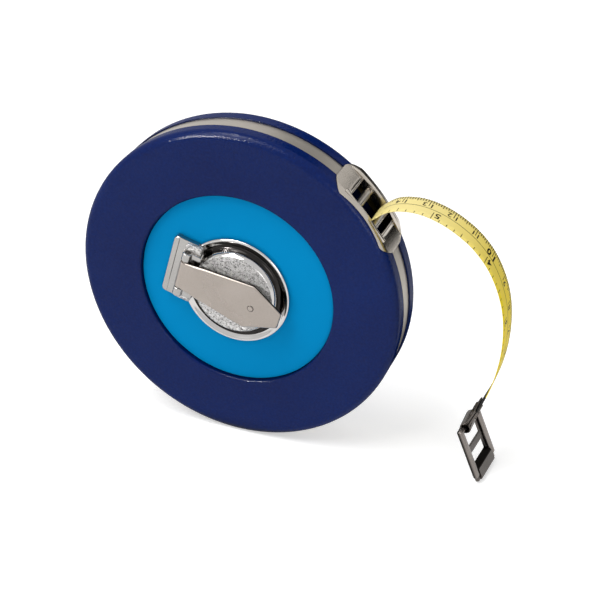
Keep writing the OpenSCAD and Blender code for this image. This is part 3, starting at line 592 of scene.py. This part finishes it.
# End clip: a gunmetal-plated steel strip folded round the ring's bar, with two leaves.
# The leaves are squeezed flat on the tape and riveted through.
CLIP_LEAF, CLIP_EDGE = 0.0007, 0.00012
CLIP_WIDTH = 0.0102
LEAF_OFF = 0.000525
LOOP_RADIUS = 0.001886
LOOP_FROM = math.asin(LEAF_OFF / LOOP_RADIUS)
LOOP_STEPS = 20
LEAF_STATIONS = [0.0095, 0.0075, 0.0055, 0.0036, 0.0024]
upper_leaf = [Vector((x, LEAF_OFF)) for x in LEAF_STATIONS]
loop_turns = [LOOP_FROM + (2 * math.pi - 2 * LOOP_FROM) * i / LOOP_STEPS
              for i in range(LOOP_STEPS + 1)]
fold = upper_leaf + [LOOP_RADIUS * Vector((math.cos(a), math.sin(a))) for a in loop_turns]
fold += [Vector((p.x, -p.y)) for p in reversed(upper_leaf)]
clip_turn = Matrix.Rotation(math.atan2(clip_run.y, clip_run.x), 2)
clip_path = [HINGE + clip_turn @ p for p in fold]
clip, _ = lay_strip(clip_path, lambda i: CLIP_WIDTH)
gunmetal_finish = make_finish(
    "gunmetal_plate", brushing, (2600, 2600, 2600),
    dark=(0.035, 0.031, 0.027), light=(0.17, 0.15, 0.135), rough=(0.16, 0.3), lift=0.00005, metal=1)
end_clip = keep_piece("end_clip", clip, [gunmetal_finish])
thicken(end_clip, CLIP_LEAF, CLIP_EDGE)
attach(end_clip, "case")
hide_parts("tape_end_clip")
dress("clip_rivets", gunmetal_finish)

# End ring: a die-cast gunmetal frame, hung on a round bar in the clip's loop.
# A thin web with a cross bar joins its two raised side rails, and the broad foot ends
# in a hook lip.
RING_HALF, RAIL_INSIDE, BAR_INSIDE = 9.9, 6.9, 5.5
RING_BACK, RING_FACE, WEB_WALL = -1.1, 1.1, 0.9
WEB_LINES = [-15.9, -11.1, -8.1, 1.2]
RAIL_FROM, RAIL_TO = -20.7, 1.5
FOOT_SIDE = [
    (-15.9, -1.1), (-17.7, 1.0), (-17.9, 1.3), (-22.1, 1.3), (-22.5, 0.9), (-22.5, -1.1)]
LIP_HALF, LIP_TOP = 8.9, 0.6
BAR_RADIUS = 0.95
WEB_EDGE, RAIL_EDGE, LIP_EDGE = 0.2, 0.95, 0.5
WEB_OVERLAP, LIP_OVERLAP = 0.5, 0.4
LIT_FROM, LIT_SPAN, FOOT_LIGHT, WEB_LIGHT = -0.1, 0.9, 0.45, 0.4
RING_LEAN, RING_SKEW = 22, 6
CLOSE = 0.01


def edges_where(bm, test):
    return [e for e in bm.edges if len(e.link_faces) == 2 and test(e)]


def verts_among(geom):
    return [g for g in geom if isinstance(g, bmesh.types.BMVert)]


def raise_sheet(bm, height):
    grown = bmesh.ops.extrude_face_region(bm, geom=bm.faces[:])
    bmesh.ops.translate(bm, vec=(0, 0, height), verts=verts_among(grown["geom"]))
    bmesh.ops.recalc_face_normals(bm, faces=bm.faces[:])


def round_off(bm, edges, radius, segments):
    bmesh.ops.bevel(bm, geom=edges, offset=radius, segments=segments, profile=0.5,
                    affect="EDGES", material=-1, clamp_overlap=True)


ring = bmesh.new()
web_columns = [-RAIL_INSIDE - WEB_OVERLAP, -BAR_INSIDE, BAR_INSIDE, RAIL_INSIDE + WEB_OVERLAP]
lay_sheet(ring, web_columns, WEB_LINES, lambda x, y: (x, y, RING_BACK))
openings = []
for face in ring.faces:
    middle = face.calc_center_median()
    if abs(middle.x) < BAR_INSIDE and (middle.y > WEB_LINES[2] or middle.y < WEB_LINES[1]):
        openings.append(face)
bmesh.ops.delete(ring, geom=openings, context="FACES")
raise_sheet(ring, WEB_WALL)
round_off(ring, edges_where(ring, lambda e: e.calc_face_angle() > math.radians(50)), WEB_EDGE, 2)
side_face = ring.faces.new([ring.verts.new((-RAIL_INSIDE, y, z)) for y, z in FOOT_SIDE])
foot = bmesh.ops.extrude_face_region(ring, geom=[side_face])
bmesh.ops.translate(ring, vec=(2 * RAIL_INSIDE, 0, 0), verts=verts_among(foot["geom"]))
for low_x, high_x in ((-RING_HALF, -RAIL_INSIDE), (RAIL_INSIDE, RING_HALF)):
    add_block(ring, (low_x, RAIL_FROM, RING_BACK), (high_x, RAIL_TO, RING_FACE), RAIL_EDGE, 5)
add_block(ring, (-LIP_HALF, FOOT_SIDE[-1][0], RING_BACK),
          (LIP_HALF, RAIL_FROM + LIP_OVERLAP, LIP_TOP), LIP_EDGE, 3)
bmesh.ops.create_cone(
    ring, cap_ends=True, segments=32, radius1=BAR_RADIUS, radius2=BAR_RADIUS,
    depth=2 * RAIL_INSIDE + 1, matrix=Matrix.Rotation(math.radians(90), 4, "Y"))
# Painted light and shade: rails lighter towards their front, foot and web mid, all else near black as
# shade.
painted_light = ring.verts.layers.float.new("painted_light")
for vert in ring.verts:
    x, y, z = vert.co
    if abs(x) > RAIL_INSIDE + CLOSE and y > RAIL_FROM:
        vert[painted_light] = min(1, max(0, (z - LIT_FROM) / LIT_SPAN))
    elif y < FOOT_SIDE[2][0] + CLOSE:
        vert[painted_light] = FOOT_LIGHT
    elif z < RING_BACK + WEB_WALL + CLOSE:
        vert[painted_light] = WEB_LIGHT if y > WEB_LINES[0] + 0.3 else 0
ring_finish = make_finish(
    "gunmetal_painted_light", brushing, (2600, 2600, 2600),
    dark=(0.13, 0.115, 0.105), light=(0.30, 0.27, 0.25), rough=(0.2, 0.34), lift=0.00005, metal=1)
nodes, links = ring_finish.node_tree.nodes, ring_finish.node_tree.links
painted_light_node = nodes.new("ShaderNodeAttribute")
painted_light_node.attribute_name = "painted_light"
painted_shade_tint = nodes.new("ShaderNodeMix")
painted_shade_tint.data_type = "RGBA"
painted_shade_tint.inputs[COLOUR_A].default_value = (0.004, 0.0033, 0.0027, 1)
links.new(painted_light_node.outputs["Fac"], painted_shade_tint.inputs["Factor"])
links.new(nodes["tint"].outputs[COLOUR_OUT], painted_shade_tint.inputs[COLOUR_B])
links.new(painted_shade_tint.outputs[COLOUR_OUT], nodes["Principled BSDF"].inputs["Base Color"])
hang = (TO_FRONT @ Matrix.Translation((HINGE.x * 1000, HINGE.y * 1000, CASE_MIDDLE))
        @ Matrix.Rotation(math.radians(RING_LEAN), 4, "Z")
        @ Matrix.Rotation(math.radians(90 - RING_SKEW), 4, "Y"))
pull_ring = keep_piece("pull_ring", ring, [ring_finish], hang)
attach(pull_ring, "end_ring")
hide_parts("end_ring")

# Winding hub: a chromed casting with a bright lip, a trough and a stippled boss;
# the trough floor is painted dark as shade and dark reflection.
# A lug on its side carries the crank's hinge, and a pocket takes the folded knob.
CRANK_ANGLE = -16.2
TO_CRANK = TO_FRONT @ Matrix.Rotation(math.radians(CRANK_ANGLE), 4, "Z")
HUB_PROFILE = [
    (16.3, 23.8), (17.1, 23.0), (17.5, 22.0), (17.9, 21.2), (18.3, 20.75), (18.8, 20.5),
    (19.3, 20.47), (19.9, 20.6), (20.5, 20.85), (21.0, 21.12), (21.4, 21.36), (21.75, 21.5),
    (22.05, 21.5), (22.35, 21.32), (22.5, 21.05), (22.5, 20.6), (22.1, 20.25), (17.0, 20.25),
    (17.0, 10.5), (0, 10.5)]
TURN_STEPS = 128
BOSS_TOP, HUB_EDGE, SHOWN_FROM = 23.8, 0.2, 20
TROUGH_INSIDE, TROUGH_OUTSIDE, TROUGH_LOW, TROUGH_TOP = 17.6, 20.0, 20.4, 21.8
POCKET_AT, POCKET_RADIUS, POCKET_FLOOR = 9.85, 5.45, 15.4


def flatten_faces(piece):
    level = piece.modifiers.new("flat_faces", "WEIGHTED_NORMAL")
    level.keep_sharp = True
    level.weight = 100


def upright(edge):
    a, b = edge.verts
    return abs(a.co.z - b.co.z) > 0.5 and (a.co.xy - b.co.xy).length < CLOSE


def turn_profile(bm, profile):
    points = [bm.verts.new((r, 0, z)) for r, z in profile]
    lines = [bm.edges.new(pair) for pair in zip(points, points[1:])]
    bmesh.ops.spin(bm, geom=points + lines, cent=(0, 0, 0), axis=(0, 0, 1), dvec=(0, 0, 0),
                   angle=2 * math.pi, steps=TURN_STEPS, use_merge=True)
    bmesh.ops.remove_doubles(bm, verts=bm.verts[:], dist=1e-4)


hub = bmesh.new()
turn_profile(hub, HUB_PROFILE)
boss_edge = [e for e in hub.edges if e.is_boundary]
pocket = bmesh.ops.create_circle(hub, cap_ends=False, segments=TURN_STEPS, radius=POCKET_RADIUS,
                                 matrix=Matrix.Translation((POCKET_AT, 0, BOSS_TOP)))
pocket_edge = list({e for v in pocket["verts"] for e in v.link_edges})
top = bmesh.ops.bridge_loops(hub, edges=boss_edge + pocket_edge)["faces"]
wall = bmesh.ops.extrude_edge_only(hub, edges=pocket_edge)["geom"]
bmesh.ops.translate(hub, vec=(0, 0, POCKET_FLOOR - BOSS_TOP), verts=verts_among(wall))
bmesh.ops.edgeloop_fill(hub, edges=[e for e in hub.edges if e.is_boundary])
for face in top:
    face.material_index = 1
for face in hub.faces:
    middle = face.calc_center_median()
    if TROUGH_INSIDE < middle.xy.length < TROUGH_OUTSIDE and TROUGH_LOW < middle.z < TROUGH_TOP:
        face.material_index = 2
bmesh.ops.recalc_face_normals(hub, faces=hub.faces[:])
round_off(hub, edges_where(hub, lambda e: e.calc_face_angle() > math.radians(35)
                           and min(v.co.z for v in e.verts) > SHOWN_FROM), HUB_EDGE, 3)
round_parts = set(hub.faces)

HINGE_X, PIN_HEIGHT, BARREL = -21.2, 25.4, 2
EAR_INSIDE, EAR_OUTSIDE, LUG_HALF = 6.5, 10.1, 13.25
LUG_END, LUG_ROOT, LUG_TOP, HUB_LOW = -28.9, -16.3, 23.0, 20.25
GROOVE_X, STRIP_TOP = -26.4, 22.85
EAR_FRONT, EAR_BACK = HINGE_X - BARREL, -18.5
SHELF_TOP, SHOULDER_INSIDE = 24.0, 7.4
EAR_EDGE, SHOULDER_EDGE, LUG_CORNER, LUG_EDGE = 0.5, 0.6, 1.8, 0.7
STRIP_EDGE, ROOT_EDGE, SHELF_EDGE = 0.5, 0.4, 0.7
arch_turns = [math.radians(a) for a in range(180, -1, -15)]
arch = [(HINGE_X + BARREL * math.cos(a), PIN_HEIGHT + BARREL * math.sin(a)) for a in arch_turns]
ear_outline = [(EAR_FRONT, HUB_LOW), *arch, (EAR_BACK, PIN_HEIGHT), (EAR_BACK, HUB_LOW)]
for side in (-1, 1):
    corners = [hub.verts.new((x, side * EAR_INSIDE, z)) for x, z in ear_outline]
    ear = bmesh.ops.extrude_face_region(hub, geom=[hub.faces.new(corners)])
    moved = verts_among(ear["geom"])
    bmesh.ops.translate(hub, vec=(0, side * (EAR_OUTSIDE - EAR_INSIDE), 0), verts=moved)
    shell = {f for v in corners + moved for f in v.link_faces}
    bmesh.ops.recalc_face_normals(hub, faces=list(shell))
    rims = {e for f in shell for e in f.edges if e.calc_face_angle() > math.radians(50)}
    round_off(hub, list(rims), EAR_EDGE, 3)
    sides = sorted((side * SHOULDER_INSIDE, side * EAR_OUTSIDE))
    add_block(hub, (EAR_BACK - 1, sides[0], HUB_LOW),
              (LUG_ROOT + 1, sides[1], PIN_HEIGHT), SHOULDER_EDGE)
slab = bmesh.ops.create_grid(
    hub, x_segments=1, y_segments=1, size=0.5,
    matrix=Matrix.Translation(((LUG_END + GROOVE_X) / 2, 0, HUB_LOW))
    @ Matrix.Diagonal((GROOVE_X - LUG_END, 2 * LUG_HALF, 1, 1)))
slab_faces = {f for v in slab["verts"] for f in v.link_faces}
risen = bmesh.ops.extrude_face_region(hub, geom=list(slab_faces))
slab_top = verts_among(risen["geom"])
bmesh.ops.translate(hub, vec=(0, 0, LUG_TOP - HUB_LOW), verts=slab_top)
slab_shell = {f for v in slab["verts"] + slab_top for f in v.link_faces}
bmesh.ops.recalc_face_normals(hub, faces=list(slab_shell))
corners = {e for f in slab_shell for e in f.edges if upright(e) and e.verts[0].co.x < LUG_END + 1}
round_off(hub, list(corners), LUG_CORNER, 6)
slab_rim = edges_where(
    hub, lambda e: e.calc_face_angle() > math.radians(60)
    and all(abs(v.co.z - LUG_TOP) < 1e-4 and v.co.x < GROOVE_X + 0.1 for v in e.verts))
round_off(hub, slab_rim, LUG_EDGE, 4)
add_block(hub, (GROOVE_X - 0.3, -LUG_HALF, HUB_LOW), (EAR_BACK, LUG_HALF, STRIP_TOP), STRIP_EDGE)
add_block(hub, (EAR_BACK - 1, -EAR_OUTSIDE, HUB_LOW), (LUG_ROOT, EAR_OUTSIDE, STRIP_TOP), ROOT_EDGE)
plain_lug = set(hub.faces)
for side in (-1, 1):
    sides = sorted((side * (EAR_OUTSIDE - 0.5), side * (LUG_HALF - 0.3)))
    add_block(hub, (EAR_FRONT, sides[0], HUB_LOW + 1), (LUG_ROOT, sides[1], SHELF_TOP), SHELF_EDGE)
for face in set(hub.faces) - plain_lug:
    face.material_index = 1
for face in plain_lug - round_parts:
    face.material_index = 3

VECTOR_A, VECTOR_B, VECTOR_OUT = 4, 5, 1
stipple, entry, way_out = effect_group(
    "cast_stipple", [("Grain", "NodeSocketFloat", 1500)], ["Shade", "Height"])
place = stipple.nodes.new("ShaderNodeTexCoord")
pits = stipple.nodes.new("ShaderNodeTexVoronoi")
stipple.links.new(entry.outputs["Grain"], pits.inputs["Scale"])
rough_cast = add_noise(stipple, place.outputs["Object"], scale=900, detail=4, roughness=0.7)
shake = stipple.nodes.new("ShaderNodeMix")
shake.data_type = "VECTOR"
shake.inputs["Factor"].default_value = 0.004
stipple.links.new(place.outputs["Object"], shake.inputs[VECTOR_A])
stipple.links.new(rough_cast.outputs["Color"], shake.inputs[VECTOR_B])
stipple.links.new(shake.outputs[VECTOR_OUT], pits.inputs["Vector"])
dents = stipple.nodes.new("ShaderNodeMath")
dents.operation = "MULTIPLY"
stipple.links.new(pits.outputs["Distance"], dents.inputs[0])
stipple.links.new(rough_cast.outputs["Fac"], dents.inputs[1])
specks = stipple.nodes.new("ShaderNodeMapRange")
specks.inputs["From Min"].default_value = 0.08
specks.inputs["From Max"].default_value = 0.28
stipple.links.new(dents.outputs["Value"], specks.inputs["Value"])
stipple.links.new(specks.outputs["Result"], way_out.inputs["Shade"])
stipple.links.new(dents.outputs["Value"], way_out.inputs["Height"])
chrome_finish = make_finish(
    "hub_chrome", brushing, (300, 300, 300),
    dark=(0.44, 0.43, 0.42), light=(0.55, 0.54, 0.53), rough=(0.05, 0.12), lift=0.00001, metal=1)
# Painted shade: the boss's stipple pits are coloured near black for the shade and dark reflection in
# them.
cast_finish = make_finish(
    "hub_cast_chrome", stipple, 1250,
    dark=(0.015, 0.014, 0.014), light=(0.43, 0.42, 0.41), rough=(0.3, 0.42), lift=0.0008, metal=1)
# Painted shade: near-black chrome for the trough floor and the arm's cut sides, standing in for their
# shade and dark reflection.
painted_shade_chrome = make_finish(
    "chrome_painted_shade", brushing, (300, 300, 300),
    dark=(0.012, 0.011, 0.011), light=(0.035, 0.032, 0.03), rough=(0.1, 0.2), lift=0.00001, metal=1)
lug_finish = make_finish(
    "hub_satin_chrome", brushing, (1800, 1800, 1800),
    dark=(0.26, 0.25, 0.24), light=(0.41, 0.40, 0.385), rough=(0.14, 0.26), lift=0.00005, metal=1)
hub_finishes = [chrome_finish, cast_finish, painted_shade_chrome, lug_finish]
cast_hub = keep_piece("cast_hub", hub, hub_finishes, TO_CRANK)
flatten_faces(cast_hub)
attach(cast_hub, "drum")
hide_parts("crank_hub")
dress("hub_screws", screw_finish)
dress("hinge_pin", journal_finish)

# Crank arm: a flat nickel plate, brushed along its length, rolled round the hinge pin.
# It widens to a bevelled tip; its edges are chamfered, and its cut sides are painted dark as shade.
ARM_LOW, ARM_TOP, ARM_CHAMFER = 25.9, 27.4, 0.38
BARREL_LENGTH, BARREL_EDGE = 11.8, 0.25
CUT_SIDE = 0.3
half_arm = [(0, 5.9), (9, 7.4), (29.4, 9.9), (42.6, 3.4)]
ARM_OUTLINE = [(x, -y) for x, y in half_arm] + half_arm[::-1]
arm = bmesh.new()
arm.faces.new([arm.verts.new((HINGE_X + x, y, ARM_LOW)) for x, y in ARM_OUTLINE])
raise_sheet(arm, ARM_TOP - ARM_LOW)
round_off(arm, arm.edges[:], ARM_CHAMFER, 1)
arm.normal_update()
for face in arm.faces:
    if abs(face.normal.z) < CUT_SIDE:
        face.material_index = 1
barrel = bmesh.ops.create_cone(
    arm, cap_ends=True, segments=48, radius1=BARREL, radius2=BARREL, depth=BARREL_LENGTH,
    matrix=Matrix.Translation((HINGE_X, 0, PIN_HEIGHT)) @ Matrix.Rotation(math.radians(90), 4, "X"))
ends = {e for v in barrel["verts"] for e in v.link_edges if e.calc_face_angle() > math.radians(60)}
round_off(arm, list(ends), BARREL_EDGE, 2)
arm_finish = make_finish(
    "brushed_nickel", brushing, (1400, 3000, 4200),
    dark=(0.235, 0.206, 0.18), light=(0.395, 0.352, 0.32), rough=(0.24, 0.36), lift=0.00003, metal=1)
crank_plate = keep_piece("crank_plate", arm, [arm_finish, painted_shade_chrome], TO_CRANK)
flatten_faces(crank_plate)
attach(crank_plate, "crank")
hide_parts("crank_arm")

# Knob rivet: a nickel rivet through the arm that carries the winding knob.
# Its end is set down to a low dome, with a ring painted dark as shade where it meets the plate.
KNOB_AT = 9.3
HEAD_FROM, DOME_RADIUS = 27, 1.1
RIVET_PROFILE = [(0, 27.75), (0.5, 27.72), (1.0, 27.6), (1.4, 27.4), (1.5, 27.2), (1.5, 17.2),
                 (2.4, 17.2), (2.4, 16.4), (2.2, 16.2), (0, 16.2)]
rivet = bmesh.new()
turn_profile(rivet, RIVET_PROFILE)
# Painted shade: the head's rim outside the dome takes the dark gunmetal finish.
for face in rivet.faces:
    middle = face.calc_center_median()
    if middle.z > HEAD_FROM and middle.xy.length > DOME_RADIUS:
        face.material_index = 1
to_knob = TO_CRANK @ Matrix.Translation((KNOB_AT, 0, 0))
crank_rivet = keep_piece("crank_rivet", rivet, [arm_finish, gunmetal_finish], to_knob)
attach(crank_rivet, "crank")
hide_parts("knob_rivet")

# Winding knob: a small waisted grip of black plastic that spins on the rivet.
# It hangs under the arm and lies in the hub's pocket while the crank is folded.
KNOB_PROFILE = [
    (1.55, 25.5), (3.3, 25.5), (3.65, 25.4), (3.85, 25.1), (3.9, 24.8), (3.9, 22.4), (4.0, 21.5),
    (4.3, 20.0), (4.5, 19.2), (4.5, 16.8), (4.4, 16.45), (4.2, 16.25), (3.9, 16.2), (2.8, 16.2),
    (2.8, 17.6), (1.55, 17.6), (1.55, 25.5)]
knob = bmesh.new()
turn_profile(knob, KNOB_PROFILE)
knob_finish = make_finish(
    "black_grip", moulded, 2600,
    dark=(0.006, 0.006, 0.007), light=(0.016, 0.016, 0.017), rough=(0.35, 0.5), lift=0.00008, gloss=0.4)
crank_knob = keep_piece("crank_knob", knob, [knob_finish], to_knob)
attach(crank_knob, "knob")
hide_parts("winding_knob")

# Studio: a white floor and surround, soft lamps above and in front, and a small glint lamp.
# The surround looks white to the eye and to metal, and lights the object at a plain level.
# The glint lamp and the black cloths show in reflections alone.
FLOOR_HEIGHT, FLOOR_HALF = -0.0665, 6
PAPER_GLOW = 0.44
ground = bmesh.new()
bmesh.ops.create_grid(ground, x_segments=1, y_segments=1, size=FLOOR_HALF,
                      matrix=Matrix.Translation((0, 0, FLOOR_HEIGHT)))
paper = bpy.data.materials.new("white_paper")
paper.use_nodes = True
nodes, links = paper.node_tree.nodes, paper.node_tree.links
paper_shader = nodes["Principled BSDF"]
paper_shader.inputs["Base Color"].default_value = (0.82, 0.82, 0.82, 1)
paper_shader.inputs["Roughness"].default_value = 1
paper_shader.inputs["Specular IOR Level"].default_value = 0
paper_shader.inputs["Emission Color"].default_value = (1, 1, 1, 1)


def seen_directly(tree):
    rays = tree.nodes.new("ShaderNodeLightPath")
    first = tree.nodes.new("ShaderNodeMath")
    first.operation = "MAXIMUM"
    tree.links.new(rays.outputs["Is Camera Ray"], first.inputs[0])
    tree.links.new(rays.outputs["Is Glossy Ray"], first.inputs[1])
    both = tree.nodes.new("ShaderNodeMath")
    both.operation = "MAXIMUM"
    tree.links.new(first.outputs["Value"], both.inputs[0])
    tree.links.new(rays.outputs["Is Transmission Ray"], both.inputs[1])
    return both.outputs["Value"]


glow = nodes.new("ShaderNodeMath")
glow.operation = "MULTIPLY"
glow.inputs[1].default_value = PAPER_GLOW
links.new(seen_directly(paper.node_tree), glow.inputs[0])
links.new(glow.outputs["Value"], paper_shader.inputs["Emission Strength"])
floor = keep_piece("floor", ground, [paper])

surround = bpy.data.worlds.new("surround")
bpy.context.scene.world = surround
surround.use_nodes = True
sky = surround.node_tree.nodes["Background"]
sky_level = surround.node_tree.nodes.new("ShaderNodeMapRange")
sky_level.inputs["To Min"].default_value = 0.5
sky_level.inputs["To Max"].default_value = 1.0
surround.node_tree.links.new(seen_directly(surround.node_tree), sky_level.inputs["Value"])
surround.node_tree.links.new(sky_level.outputs["Result"], sky.inputs["Strength"])
sky.inputs["Color"].default_value = (1, 1, 1, 1)


def hang_lamp(name, place, size, power):
    light = bpy.data.lights.new(name, "AREA")
    light.size = size
    light.energy = power
    lamp = bpy.data.objects.new(name, light)
    bpy.context.scene.collection.objects.link(lamp)
    lamp.location = place
    lamp.rotation_euler = (-Vector(place)).to_track_quat("-Z", "Y").to_euler()
    return lamp


hang_lamp("overhead", (-0.35, -0.45, 0.95), size=0.7, power=7.0)
hang_lamp("front", (0.65, -0.9, 0.3), size=0.45, power=2.6)
hang_lamp("edge_light", (-0.38, -0.15, 1.02), size=0.22, power=2.6)
glint_light = hang_lamp("glint_light", (-0.55, -0.81, 0.46), size=0.1, power=14.0)
glint_light.visible_diffuse = False

black_cloth = bpy.data.materials.new("black_cloth")
black_cloth.use_nodes = True
cloth_shader = black_cloth.node_tree.nodes["Principled BSDF"]
cloth_shader.inputs["Base Color"].default_value = (0.01, 0.009, 0.008, 1)
cloth_shader.inputs["Specular IOR Level"].default_value = 0
FLAG_DISTANCE, FLAG_CLEARANCE = 0.8, 0.0005


def set_flag(name, place, half_width, half_height):
    cloth = bmesh.new()
    bmesh.ops.create_grid(cloth, x_segments=1, y_segments=1, size=1,
                          matrix=place @ Matrix.Diagonal((half_width, half_height, 1, 1)))
    flag = keep_piece(name, cloth, [black_cloth])
    flag.visible_camera = False
    flag.visible_diffuse = False
    flag.visible_shadow = False


def hang_flag(name, turn, rise, half_width, half_height):
    turn, rise = math.radians(turn), math.radians(rise)
    flat = math.cos(rise)
    way = Vector((math.cos(turn) * flat, math.sin(turn) * flat, math.sin(rise)))
    facing = way.to_track_quat("-Z", "Y").to_matrix().to_4x4()
    set_flag(name, Matrix.Translation(way * FLAG_DISTANCE) @ facing, half_width, half_height)


hang_flag("low_flag", turn=42, rise=-1, half_width=0.39, half_height=0.19)
hang_flag("high_flag", turn=84, rise=37, half_width=0.16, half_height=0.15)
hang_flag("back_flag", turn=78, rise=12, half_width=0.25, half_height=0.17)
# Painted shadow: a dark sheet stands in for the reel's shadow on the floor behind it, as the metal
# reflects it.
behind_reel = Matrix.Translation((0.05, 0.062, FLOOR_HEIGHT + FLAG_CLEARANCE))
set_flag("floor_shadow_flag", behind_reel, half_width=0.055, half_height=0.04)

# Camera: at the photograph's angle, a little above the reel and to its right.
# The long lens keeps the case's circles nearly true.
CAMERA_YAW, CAMERA_PITCH = 21.39, 30.91
lens = bpy.data.cameras.new("camera")
lens.sensor_width = 36
lens.lens = 83.71
lens.clip_start = 0.01
camera = bpy.data.objects.new("camera", lens)
bpy.context.scene.collection.objects.link(camera)
camera.location = (0.19346, -0.44618, 0.27508)
camera.rotation_euler = (math.radians(90 - CAMERA_PITCH), 0, math.radians(CAMERA_YAW))
bpy.context.scene.camera = camera
bpy.context.scene.view_settings.view_transform = "Standard"
